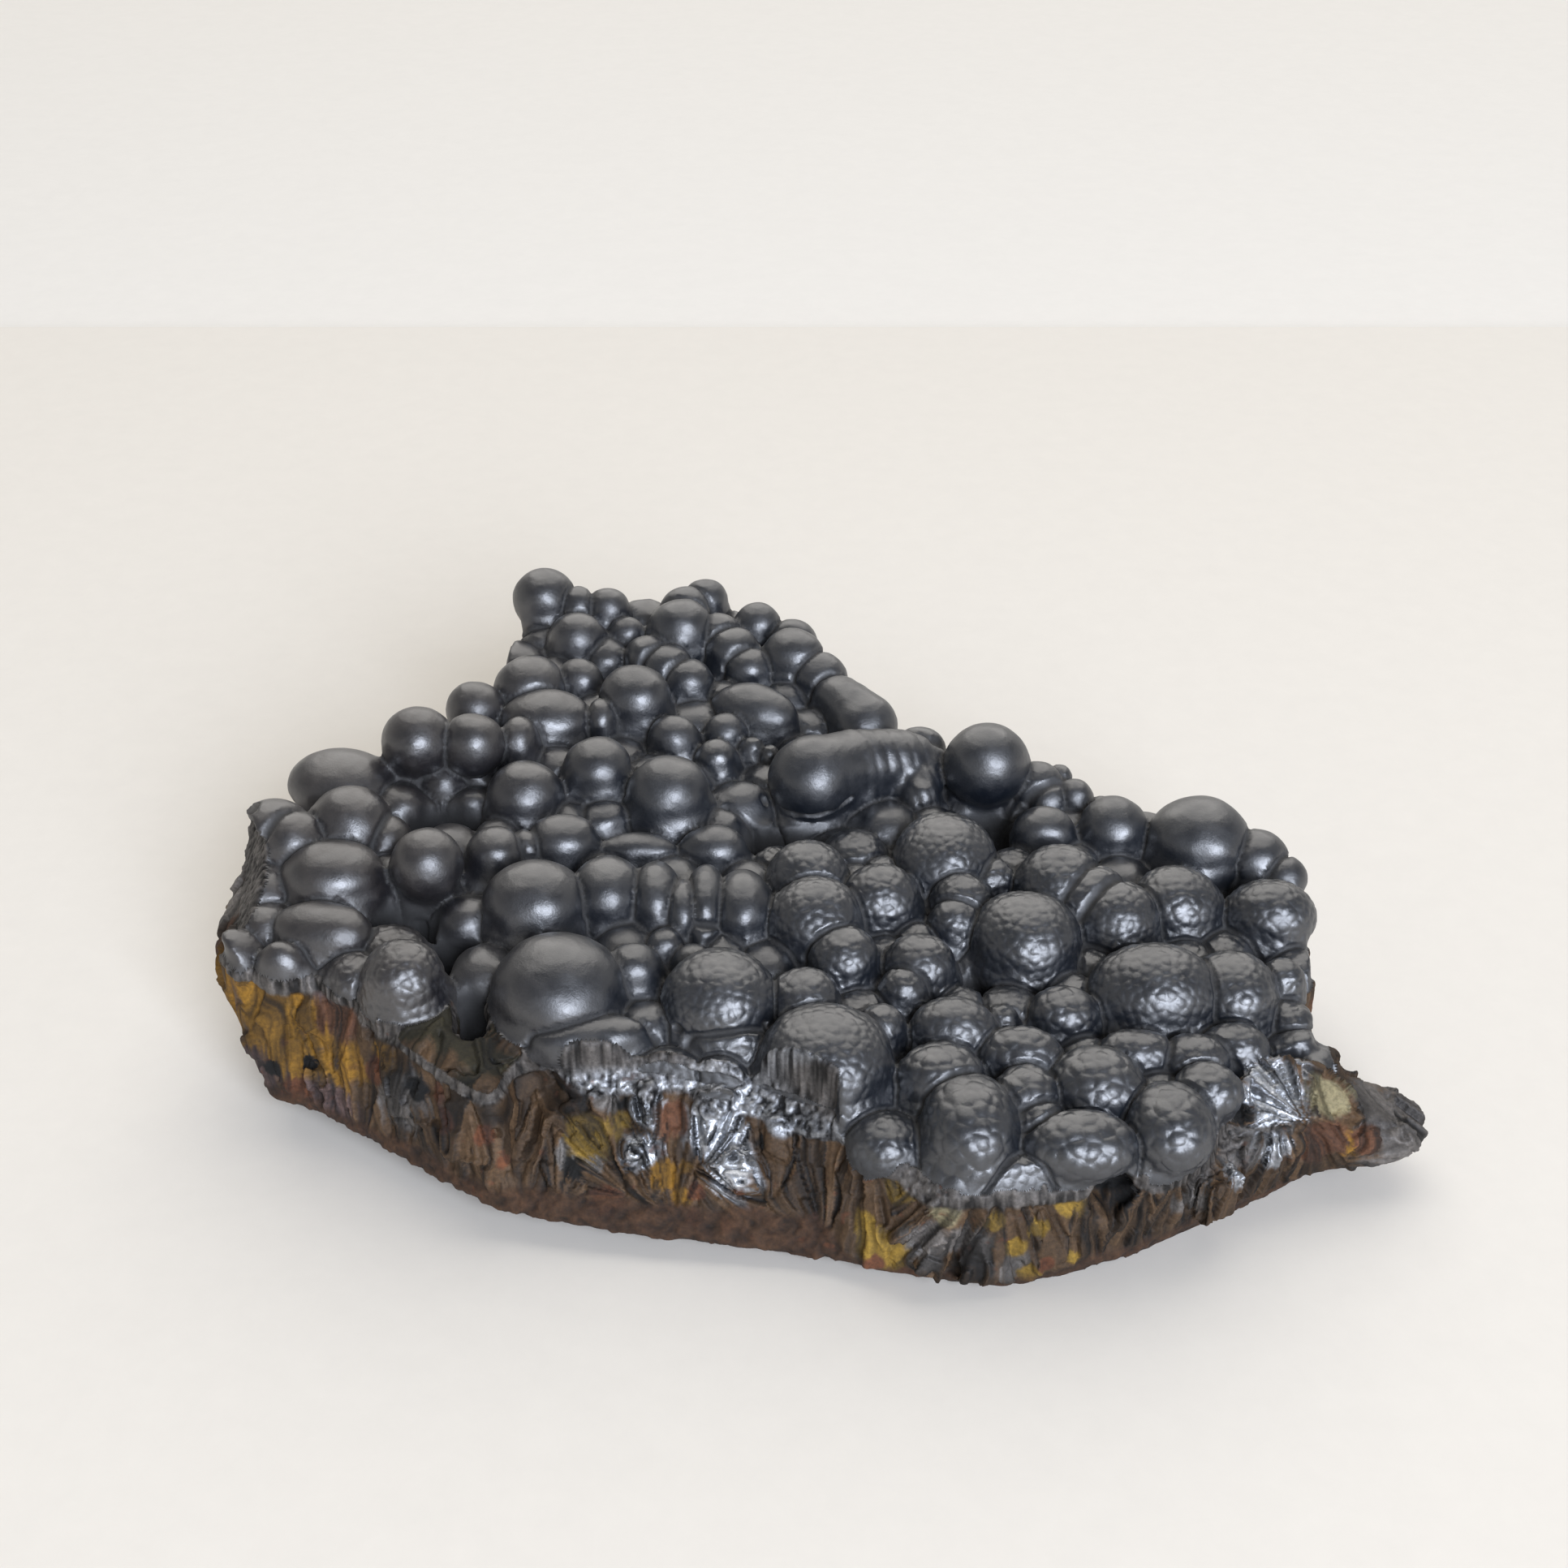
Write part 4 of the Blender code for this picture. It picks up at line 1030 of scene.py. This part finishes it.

# Stained and fresh patches, as (x, y, z, radius), by tone. The first two black ones are painted shade inside
# the black hole and the notch by the fan.
PATCHES = {
    "grey": [
        (-19.2, -35.8, 7.7, 1.6), (-17.0, -36.2, 7.1, 1.1), (-16.3, -32.8, 11.4, 1.6), (12, -44, 5, 2.2),
        (16, -43.8, 5, 2.0), (19.5, -43.6, 2.5, 1.8), (40.6, -35.5, 7.9, 2.4), (-34, -30, 9, 3.0),
        (-53.5, -8, 17.5, 4.5), (56.5, -30, 6.0, 5.0), (36, -38, 6, 2.5),
    ],
    "silver": [
        (-12.2, -33.9, 11.0, 1.7), (-12.9, -36.4, 8.2, 1.8), (-6.1, -35.3, 10.4, 3.0),
        (-4.3, -38.0, 7.9, 2.7), (0.6, -34.0, 12.2, 1.8), (17.3, -43.6, 9.6, 0.9), (40.4, -38.0, 7.2, 1.5),
        (44.2, -31.0, 10.8, 3.4), (44.5, -34.9, 7.3, 1.9), (-2.4, -33.4, 12.4, 1.6),
    ],
    "gold": [
        (-17.2, -34.8, 8.7, 2.3), (-14.4, -33.7, 9.7, 0.9), (10.7, -41.5, 9.0, 1.8), (7.0, -42.5, 5.5, 1.2),
        (8.8, -43.5, 3.6, 2.1), (18.1, -43.9, 7.3, 1.0), (20.0, -44.0, 4.2, 1.0), (21.6, -44.2, 1.2, 1.0),
        (24.9, -42.5, 8.2, 1.5), (22.1, -43.3, 6.0, 0.9), (25.2, -43.3, 2.4, 0.9), (27.0, -41.9, 10.2, 1.9),
    ],
    "olive": [
        (-29.5, -27.5, 15.0, 4.0), (-30.5, -22.5, 14.0, 4.0), (-27.0, -31.0, 14.6, 3.0),
        (-33.5, -27.5, 15.4, 2.6),
    ],
    "pale gold": [(14.0, -43.9, 8.6, 1.4), (49.4, -31.0, 10.0, 2.0)],
    "ochre": [
        (-48.6, -21.5, 14.0, 4.4), (-47.1, -23.7, 10.0, 4.4), (-42.5, -25.2, 8.0, 3.8),
        (-36.7, -28.0, 12.4, 1.8), (-52.0, -17.0, 12.0, 3.6), (-10.8, -37.5, 6.4, 1.3),
        (-50.5, -19.5, 8.5, 3.4), (-44.5, -24.0, 11.5, 3.4), (-39.5, -25.5, 9.5, 2.6),
        (-8.7, -37.4, 7.4, 0.8), (-9.1, -38.8, 5.2, 0.9), (51.3, -32.6, 5.7, 1.4),
    ],
    "tan": [
        (-40.7, -23.4, 13.8, 2.8), (-9.9, -34.0, 9.9, 1.6), (53.4, -32.6, 6.0, 1.6),
        (49.1, -32.4, 6.1, 2.6),
    ],
    "mauve": [(-42.2, -21.1, 16.1, 2.2), (-42, -26, 4, 4.0), (-50, -21, 5, 4.0)],
    "rust": [
        (-16.1, -31.4, 13.0, 0.9), (-19.4, -31.7, 12.9, 0.8), (-15.8, -38.5, 4.5, 1.5),
        (-7.8, -38.5, 5.6, 0.8), (-4.0, -39.2, 6.1, 0.7), (-8.0, -39.8, 3.7, 0.8), (-5.1, -40.7, 3.5, 0.8),
        (-26.4, -35.9, 9.7, 1.1), (-25.0, -36.6, 7.4, 1.0), (13.5, -43.6, 9.8, 0.8), (7.8, -43.6, 2.0, 0.9),
        (11.3, -44.1, 1.1, 1.1), (23.0, -44.4, 2.4, 0.7), (16.6, -43.4, 10.5, 0.7), (30.2, -40.6, 11.0, 1.1),
        (33.0, -40.7, 8.7, 1.0), (-37.6, -27.8, 10.5, 1.3), (-31.0, -32.3, 11.6, 1.2),
        (-30.5, -34.3, 10.0, 1.2), (-46, -24.4, 5.0, 1.4),
    ],
    "black": [
        # Painted shade in the black hole and in the notch by the fan, then small black spots.
        (28.7, -40.2, 7.9, 2.3), (41.3, -33.4, 10.2, 1.2), (-48.1, -23.6, 7.2, 0.9),
        (-44.4, -24.0, 8.2, 0.8), (-45.0, -21.8, 16.0, 0.8), (-33.0, -31.5, 11.1, 1.0),
        (-55.0, -6.8, 17.1, 0.9), (-22.4, -34.7, 9.5, 1.3), (-14.2, -32.6, 10.6, 0.9),
        (-9.3, -33.2, 9.8, 0.8), (-18.6, -36.4, 6.2, 1.1), (-1.9, -35.8, 8.8, 0.9),
    ],
}
HIDDEN_FAN_HEIGHT = 8.0
HIDDEN_FAN_LEAN = 2.0
LEAN_STEP = 2.3
SHORTEST_FAN = 3.0
SPREAD = 1.3
FAN_ROOT = 0.7
FAN_WAVER = 0.35
BUNDLE_ANGLE = 0.14
BUNDLE_WAVER = 0.05
BUNDLE_LENGTH = 2.4
BUNDLE_TILT = 0.7
BUNDLE_STEP = 0.7
JOINT_STEP = 0.6
FIBRE_ANGLE = 0.04
FIBRE_LENGTH = 4.0
FIBRE_RISE = 0.12
SEEN_FRONT = -17
SEEN_TURN = 0.5
STAIN_EDGES = (0.8, 1.15)
RIM_BAND = 1.9
RIM_FIBRE = 0.32
RIM_RISE = 0.16
RIM_LIFT = 0.12
SILVER_RIM_MIDDLE = -8
SILVER_RIM_REACH = 14
ROCK_LEVEL = 4.2
ROCK_LEVEL_RIGHT = 0.9
ROCK_GRAIN = 0.9
ROCK_RISE = 0.22


def linear(code):
    """A linear colour from an sRGB hex code."""
    parts = [int(code[i:i + 2], 16) / 255 for i in (1, 3, 5)]
    return tuple(c / 12.92 if c <= 0.04045 else ((c + 0.055) / 1.055) ** 2.4 for c in parts)


def all_fans():
    """Points and far ends of the fans, those on the hidden sides too."""
    fans = list(FANS)
    for index, (x, y, z) in enumerate(HIDDEN_FEET):
        lean = HIDDEN_FAN_LEAN * math.sin(LEAN_STEP * index)
        fans.append(((x, y, z), (x + lean, y, z + HIDDEN_FAN_HEIGHT)))
    return fans


def fan_of(places):
    """The fan that each place belongs to."""
    fans = all_fans()
    best = np.full(len(places), np.inf)
    chosen = np.zeros(len(places), dtype=int)
    for index, (point, end) in enumerate(fans):
        offset = places - point
        way = np.subtract(end, point)
        size = np.linalg.norm(way)
        away = np.linalg.norm(offset, axis=1)
        cosine = offset @ way / size / np.maximum(away, 1e-6)
        cost = away / max(size, SHORTEST_FAN) * (1 + SPREAD * (1 - cosine))
        better = cost < best
        best[better] = cost[better]
        chosen[better] = index
    return chosen


def toned(tone, lightness):
    """The tone's colour and shine where it is so light, from 0 to 1."""
    dark, light, shine = TONES[tone]
    share = np.clip(lightness, 0, 1)[:, None]
    return np.array(linear(dark)) * (1 - share) + np.array(linear(light)) * share, shine


def stained(colour, shine, tone, lightness, share):
    """The colour and shine after the tone has covered its share of them."""
    stain, gloss = toned(tone, lightness)
    return colour + (stain - colour) * share[:, None], shine + (gloss - shine) * share


def splinters(places, broad):
    """How far the splinters stand out at each place, how light they are, and their ragged edges."""
    fans = all_fans()
    waver = np.stack([noise(places, 1.6, seed) for seed in (31, 32, 33)], axis=1)
    chosen = fan_of(places + FAN_WAVER * waver)
    points = np.array([fan[0] for fan in fans])
    points = (points - FAN_ROOT * (np.array([fan[1] for fan in fans]) - points))[chosen]
    ways = unit(np.array([np.subtract(fan[1], fan[0]) for fan in fans]))[chosen]
    across = unit(np.cross(broad, ways))
    offset = places - points
    along = (offset * ways).sum(axis=1)
    beside = (offset * across).sum(axis=1)
    away = np.hypot(along, beside)
    angle = np.arctan2(beside, along) + BUNDLE_WAVER * noise(places, 2.5, 34)
    turn = angle / BUNDLE_ANGLE + 0.5 * noise(places, 6.0, 35)
    bundle = np.floor(turn)
    key = np.stack([chosen, bundle], axis=1)
    joint = np.floor(away / BUNDLE_LENGTH + 3 * scatter(key, 1))
    joint_key = np.stack([chosen, bundle, joint], axis=1)
    step = (scatter(key, 2) - 0.5) * ramp(away, 0.0, 3.0)
    step += JOINT_STEP * (scatter(joint_key, 3) - 0.5) * ramp(away, 0.5, 3.0)
    fibre = np.stack([angle / FIBRE_ANGLE, away / FIBRE_LENGTH, chosen * 17.0], axis=1)
    fine = noise(fibre, 1.0, 4) + 0.6 * noise(fibre, 0.45, 5)
    rise = BUNDLE_STEP * step + FIBRE_RISE * fine * ramp(away, 0.0, 3.5)
    tilt = scatter(joint_key, 7) - 0.5
    rise += BUNDLE_TILT * tilt * (turn - bundle - 0.5) * BUNDLE_ANGLE * away
    lightness = 0.75 * scatter(key, 6) ** 1.5 + 0.3 * fine + 0.12
    ragged = 0.30 * noise(places, 1.6, 36) + 0.25 * fine + 0.25 * (scatter(key, 8) - 0.5)
    return rise, lightness, ragged


def patched(places, broad, lightness, ragged):
    """The colour and shine of the splinters with their stains and the painted shade in two holes, by noise
    on the hidden sides.
    """
    colour, shine = toned("plain", lightness)
    seen = (places[:, 1] < SEEN_FRONT) & (broad[:, 1] < SEEN_TURN)
    for seed, tone in enumerate(("tan", "ochre", "grey")):
        share = ramp(noise(places, 7.0, 90 + seed) + ragged, 0.3, 0.6) * ~seen
        colour, shine = stained(colour, shine, tone, lightness, share)
    for tone, patches in PATCHES.items():
        share = np.zeros(len(places))
        for x, y, z, radius in patches:
            away = np.linalg.norm(places - (x, y, z), axis=1) / radius
            share = np.maximum(share, 1 - ramp(away + ragged, *STAIN_EDGES))
        colour, shine = stained(colour, shine, tone, lightness, share)
    return colour, shine


def broken_relief(places, broad, rim_depth):
    """How far the broken sides stand out at each place, and the colour and shine there."""
    rise, lightness, ragged = splinters(places, broad)
    colour, shine = patched(places, broad, lightness, ragged)

    standing = places * (1 / RIM_FIBRE, 1 / RIM_FIBRE, 0.25)
    upright = noise(standing, 1.0, 41) + 0.5 * noise(standing, 0.5, 42)
    in_band = 1 - ramp(rim_depth + 0.5 * noise(places, 3.0, 43), RIM_BAND * 0.75, RIM_BAND)
    rise = rise * (1 - in_band) + (RIM_RISE * upright + RIM_LIFT) * in_band
    bright = np.clip(0.30 + 0.5 * upright + 0.25 * noise(places, 3.5, 44), 0, 1)
    silvery = ramp(noise(places, 5.0, 45), -0.3, 0.3)
    silvery = silvery * (np.abs(places[:, 0] - SILVER_RIM_MIDDLE) < SILVER_RIM_REACH)
    colour, shine = stained(colour, shine, "grey", bright, in_band)
    colour, shine = stained(colour, shine, "silver", bright, in_band * silvery * 0.8)

    grain = noise(places, ROCK_GRAIN, 51) + 0.6 * noise(places, ROCK_GRAIN * 0.45, 52)
    level = ROCK_LEVEL + (ROCK_LEVEL_RIGHT - ROCK_LEVEL) * ramp(places[:, 0], 2, 8)
    as_rock = 1 - ramp(places[:, 2] + 0.8 * noise(places, 3.0, 53) - level, 0, 0.9)
    rise = rise * (1 - as_rock) + ROCK_RISE * grain * as_rock
    colour, shine = stained(colour, shine, "rock", 0.4 + 0.4 * grain, as_rock * 0.85)

    rust = ramp(noise(places, 0.9, 61) + 0.5 * noise(places, 0.4, 62), 0.65, 0.95) * 0.7
    rust = rust * ramp(noise(places, 6.0, 63), 0.0, 0.4)
    colour, shine = stained(colour, shine, "rust", lightness, rust)
    return rise, colour, shine


# The band of fibres under the rim ends at the broken ball. Where there is none, its depth is set
# to one far past it.
RIM_END = 46
NO_RIM = 9
side_places = np.nonzero(side)[0]
sink = crust_level(places[:, 0], places[:, 1]) - places[:, 2]
in_valley = (places[:, 0] > VALLEY_LEFT) & (places[:, 0] < VALLEY_RIGHT)
in_valley &= (places[:, 1] < VALLEY_LIP) & (broad[:, 2] > 0.5)
has_rim = side & ~on_fan(places) & (places[:, 0] < RIM_END) & ~in_valley
rim_depth = np.where(has_rim, sink - SIDE_SINK, NO_RIM)
side_rise, side_colour, side_shine = broken_relief(
    places[side_places], broad[side_places], rim_depth[side_places])
rise[side_places] = side_rise
tone = np.zeros((len(places), 3))
tone[side_places] = side_colour
shine = np.zeros(len(places))
shine[side_places] = side_shine

# The underside. It is where the slab tore off its bed, and is rough brown rock with pits. Only
# its high spots, which lie flat, touch the paper.
PIT_WIDTH = 2.6
PIT_DEPTH = 0.45
PIT_GRAIN = 0.08
under_places = np.nonzero(under)[0]
spots = places[under_places]
pits = noise(spots, PIT_WIDTH, 71) + 0.5 * noise(spots, 1.1, 72)
rise[under_places] = -PIT_DEPTH * ramp(pits, -0.1, 1.0) + PIT_GRAIN * noise(spots, 0.8, 73)
share = 0.4 + 0.45 * noise(spots, 1.2, 74) + 0.2 * noise(spots, 0.5, 75)
tone[under_places], shine[under_places] = toned("rock", share)

shaped = places + broad * evened(rise, pairs, 1, 0.35)[:, None]
shaped[:, 2] = np.maximum(shaped[:, 2], 0)
normals = normals_of(shaped, faces)

# The crust's colour has painted shade deep between the lumps and in its creases and cracks, where it goes to
# near black, and it is dusty towards its left end.
CREVICE_SHADE_SINK = (0.4, 3.2)
DUST_LEFT = (10, 45)
# Painted shade: how far the crust's colour goes to near black, by depth under the crust's level.
deep = np.where(crust, ramp(sink, *CREVICE_SHADE_SINK), 0)
dust = ramp(-places[:, 0] + 8 * noise(places, 14, 81), *DUST_LEFT) * crust


# All pieces have their colours from marks on the mesh and from fine patterns in the material.
def add_node(tree, kind, inputs=None, **settings):
    """Adds a node, sets what is given, and links the inputs that are given as sockets."""
    made = tree.nodes.new(kind)
    for name, value in settings.items():
        setattr(made, name, value)
    for name, value in (inputs or {}).items():
        if isinstance(value, bpy.types.NodeSocket):
            tree.links.new(value, made.inputs[name])
        else:
            made.inputs[name].default_value = value
    return made


def crust_material():
    """Hematite crust, grown in free space: a black skin with the half-metallic gloss of iron oxide."""
    material = bpy.data.materials.new("grown_hematite_crust")
    material.use_nodes = True
    tree = material.node_tree
    shader = tree.nodes["Principled BSDF"]
    shader.inputs["IOR"].default_value = 2.0
    shader.inputs["Metallic"].default_value = 0.0
    place = add_node(tree, "ShaderNodeTexCoord").outputs["Object"]
    # The deep and crease marks carry painted shade for the gaps between the lumps and for the creases and
    # cracks.
    deep = add_node(tree, "ShaderNodeAttribute", attribute_name="deep").outputs["Fac"]
    crease = add_node(tree, "ShaderNodeAttribute", attribute_name="crease").outputs["Fac"]
    deep = add_node(tree, "ShaderNodeMath", {0: deep, 1: crease}, operation="MAXIMUM").outputs[0]
    dust = add_node(tree, "ShaderNodeAttribute", attribute_name="dust").outputs["Fac"]
    patches = add_node(tree, "ShaderNodeTexNoise", {
        "Vector": place, "Scale": 1 / (2.2 * MM), "Detail": 4.0, "Roughness": 0.6}).outputs["Fac"]
    scratches = add_node(tree, "ShaderNodeTexNoise", {
        "Vector": place, "Scale": 1 / (0.35 * MM), "Detail": 3.0, "Roughness": 0.7}).outputs["Fac"]
    dusty = add_node(tree, "ShaderNodeMath", {0: dust, 1: patches}, operation="MULTIPLY").outputs[0]
    base = add_node(tree, "ShaderNodeMix", {
        "Factor": dusty, 6: (*linear("#0C121B"), 1), 7: (*linear("#2B2420"), 1)}, data_type="RGBA")
    # Painted shade: deep between the lumps and in creases and cracks the base colour goes to near black.
    base = add_node(tree, "ShaderNodeMix", {
        "Factor": deep, 6: base.outputs[2], 7: (*linear("#060404"), 1)}, data_type="RGBA")
    tree.links.new(base.outputs[2], shader.inputs["Base Color"])
    rough = add_node(tree, "ShaderNodeMapRange", {
        "Value": patches, "From Min": 0.3, "From Max": 0.7, "To Min": 0.31, "To Max": 0.49})
    rough = add_node(
        tree, "ShaderNodeMath", {0: deep, 1: 0.5, 2: rough.outputs[0]}, operation="MULTIPLY_ADD")
    tree.links.new(rough.outputs[0], shader.inputs["Roughness"])
    bump = add_node(tree, "ShaderNodeBump", {
        "Height": scratches, "Strength": 0.45, "Distance": 0.06 * MM})
    tree.links.new(bump.outputs[0], shader.inputs["Normal"])
    return material


def broken_material(name):
    """Broken hematite: splinters from silvery to stained, rougher where they are stained."""
    material = bpy.data.materials.new(name)
    material.use_nodes = True
    tree = material.node_tree
    shader = tree.nodes["Principled BSDF"]
    shader.inputs["IOR"].default_value = 1.5
    place = add_node(tree, "ShaderNodeTexCoord").outputs["Object"]
    tone = add_node(tree, "ShaderNodeAttribute", attribute_name="tone").outputs["Color"]
    shine = add_node(tree, "ShaderNodeAttribute", attribute_name="shine").outputs["Fac"]
    grain = add_node(tree, "ShaderNodeTexNoise", {
        "Vector": place, "Scale": 1 / (0.4 * MM), "Detail": 4.0, "Roughness": 0.65}).outputs["Fac"]
    light = add_node(tree, "ShaderNodeMapRange", {
        "Value": grain, "From Min": 0.25, "From Max": 0.75, "To Min": 0.55, "To Max": 1.35})
    base = add_node(tree, "ShaderNodeVectorMath", {0: tone, 1: light.outputs[0]}, operation="MULTIPLY")
    tree.links.new(base.outputs[0], shader.inputs["Base Color"])
    metal = add_node(tree, "ShaderNodeMath", {0: shine, 1: 0.85}, operation="MULTIPLY")
    tree.links.new(metal.outputs[0], shader.inputs["Metallic"])
    rough = add_node(tree, "ShaderNodeMapRange", {
        "Value": shine, "From Min": 0.0, "From Max": 1.0, "To Min": 0.9, "To Max": 0.32})
    tree.links.new(rough.outputs[0], shader.inputs["Roughness"])
    bump = add_node(tree, "ShaderNodeBump", {
        "Height": grain, "Strength": 0.5, "Distance": 0.12 * MM})
    tree.links.new(bump.outputs[0], shader.inputs["Normal"])
    return material


low, high = (np.array(corner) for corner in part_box("hematite_specimen"))
middle = (places.min(axis=0) + places.max(axis=0)) / 2
shift = (low + high) / 2 - middle * MM
shift[2] = 0


UV_MARGIN = 0.01
AROUND_Y = -4
AROUND_WIDTH = 30
AROUND_TAPER = 0.35


def from_above(spots):
    """The places as seen from above."""
    return spots[:, :2]


def from_around(spots):
    """The places as seen from all around."""
    x, y, z = spots.T
    away = np.hypot(x, y - AROUND_Y)
    return np.stack([np.arctan2(x, y - AROUND_Y) * AROUND_WIDTH, z - AROUND_TAPER * away], axis=1)


def piece(name, mask, material, view):
    """A piece of the stone's skin: the triangles in the mask, with their marks and normals."""
    chosen = faces[mask]
    used, local = np.unique(chosen, return_inverse=True)
    mesh = bpy.data.meshes.new(name)
    metres = shaped[used] * MM + shift
    mesh.from_pydata(metres.tolist(), [], local.reshape(-1, 3).tolist())
    mesh.shade_smooth()
    # The deep and crease marks carry painted shade into the crust's colour.
    for mark, values in (("deep", deep), ("dust", dust), ("shine", shine), ("crease", crease)):
        values = values[used].astype(np.float32)
        mesh.attributes.new(mark, "FLOAT", "POINT").data.foreach_set("value", values)
    colours = np.concatenate([tone[used], np.ones((len(used), 1))], axis=1).astype(np.float32)
    mesh.attributes.new("tone", "FLOAT_COLOR", "POINT").data.foreach_set("color", colours.ravel())
    mesh.normals_split_custom_set_from_vertices(normals[used].tolist())
    flat = view(shaped[used])
    flat = (flat - flat.min(axis=0)) / (flat.max(axis=0) - flat.min(axis=0)).max()
    flat = flat * (1 - 2 * UV_MARGIN) + UV_MARGIN
    corner_places = flat[local.ravel()].astype(np.float32)
    mesh.uv_layers.new(name="OFBake").data.foreach_set("uv", corner_places.ravel())
    mesh.materials.append(material)
    obj = bpy.data.objects.new(name, mesh)
    bpy.context.scene.collection.objects.link(obj)
    print(name, len(chosen), "triangles")
    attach(obj, "root")
    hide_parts("hematite_specimen")


centre = shaped[faces].mean(axis=1)
side_face = side[faces].sum(axis=1) >= 2
under_face = (under[faces].sum(axis=1) >= 2) & ~side_face
crust_face = ~side_face & ~under_face
grown = crust_material()
broken = broken_material("broken_hematite_fibres")
torn = broken_material("torn_hematite_base")
# The skin is parted along these lines, so that each piece has fewer than 200,000 triangles.
on_left = centre[:, 0] < -12
on_right = centre[:, 0] >= 18
behind = centre[:, 1] >= -5
left_sides = centre[:, 0] < -6
piece("crust_left", crust_face & on_left, grown, from_above)
piece("crust_back", crust_face & ~on_left & behind, grown, from_above)
piece("crust_front", crust_face & ~on_left & ~on_right & ~behind, grown, from_above)
piece("crust_right", crust_face & on_right & ~behind, grown, from_above)
piece("broken_sides_left", side_face & left_sides, broken, from_around)
piece("broken_sides_right", side_face & ~left_sides, broken, from_around)
piece("underside", under_face, torn, from_above)

# The room. The stone lies on a sheet of off-white paper on a pale painted table, in soft light
# from a window at the right behind the camera and from a white ceiling.
FIBRE_SHADE = 0.93


def plain_material(name, code, roughness):
    """A matt pale surface with a faint fibre pattern."""
    material = bpy.data.materials.new(name)
    material.use_nodes = True
    tree = material.node_tree
    shader = tree.nodes["Principled BSDF"]
    place = add_node(tree, "ShaderNodeTexCoord").outputs["Object"]
    fibres = add_node(tree, "ShaderNodeTexNoise", {
        "Vector": place, "Scale": 1 / (4 * MM), "Detail": 5.0, "Roughness": 0.7}).outputs["Fac"]
    shaded = tuple(c * FIBRE_SHADE for c in linear(code))
    base = add_node(tree, "ShaderNodeMix", {
        "Factor": fibres, 6: (*shaded, 1), 7: (*linear(code), 1)}, data_type="RGBA")
    tree.links.new(base.outputs[2], shader.inputs["Base Color"])
    shader.inputs["Roughness"].default_value = roughness
    return material


def sheet_of(name, half_width, near, far, level, material):
    """A flat sheet from its near edge to its far one, in metres."""
    corners = [
        (-half_width, near, level), (half_width, near, level), (half_width, far, level),
        (-half_width, far, level),
    ]
    mesh = bpy.data.meshes.new(name)
    mesh.from_pydata(corners, [], [(0, 1, 2, 3)])
    mesh.materials.append(material)
    obj = bpy.data.objects.new(name, mesh)
    bpy.context.scene.collection.objects.link(obj)


sheet_of("paper", 1.2, -1.0, 0.19, 0, plain_material("uncoated_paper", "#E2DDD4", 0.9))
sheet_of("table", 3, -1.2, 3, -0.002, plain_material("painted_table", "#E6E3DD", 0.8))

# The camera looks down at the stone. Its focal length is in the photo's pixels.
CAMERA_PLACE = (0, -0.176, 0.138)
CAMERA_DOWN = 33
FOCAL_PIXELS = 2600
PHOTO_PIXELS = 1932
SENSOR = 36
camera_data = bpy.data.cameras.new("camera")
camera_data.sensor_width = SENSOR
camera_data.lens = FOCAL_PIXELS / PHOTO_PIXELS * SENSOR
camera = bpy.data.objects.new("camera", camera_data)
camera.location = Vector(CAMERA_PLACE) + Vector(shift)
camera.rotation_euler = (math.radians(90 - CAMERA_DOWN), 0, 0)
bpy.context.scene.collection.objects.link(camera)
bpy.context.scene.camera = camera


def soft_light(name, place, width, power, colour):
    """A square light of that width that looks at the stone."""
    data = bpy.data.lights.new(name, "AREA")
    data.size = width
    data.energy = power
    data.color = linear(colour)
    obj = bpy.data.objects.new(name, data)
    obj.location = place
    obj.rotation_euler = (Vector((0, 0, 0.01)) - obj.location).to_track_quat("-Z", "Y").to_euler()
    bpy.context.scene.collection.objects.link(obj)


soft_light("window", (0.46, -1.12, 0.65), 0.76, 26.0, "#E4ECFC")
soft_light("ceiling", (0.1, 2.2, 2.4), 4.4, 110.0, "#FFFBF6")
# The far walls of the room are pale, and it is darker higher up.
world = bpy.data.worlds.new("room")
world.use_nodes = True
sky = world.node_tree.nodes["Background"]
sky.inputs["Color"].default_value = (*linear("#F7F4EF"), 1)
ways = add_node(world.node_tree, "ShaderNodeTexCoord").outputs["Generated"]
height = add_node(world.node_tree, "ShaderNodeSeparateXYZ", {"Vector": ways}).outputs["Z"]
glow = add_node(world.node_tree, "ShaderNodeMapRange", {
    "Value": height, "From Min": 0.25, "From Max": 0.6, "To Min": 0.6, "To Max": 0.2})
world.node_tree.links.new(glow.outputs[0], sky.inputs["Strength"])
bpy.context.scene.world = world
bpy.context.scene.view_settings.view_transform = "Standard"
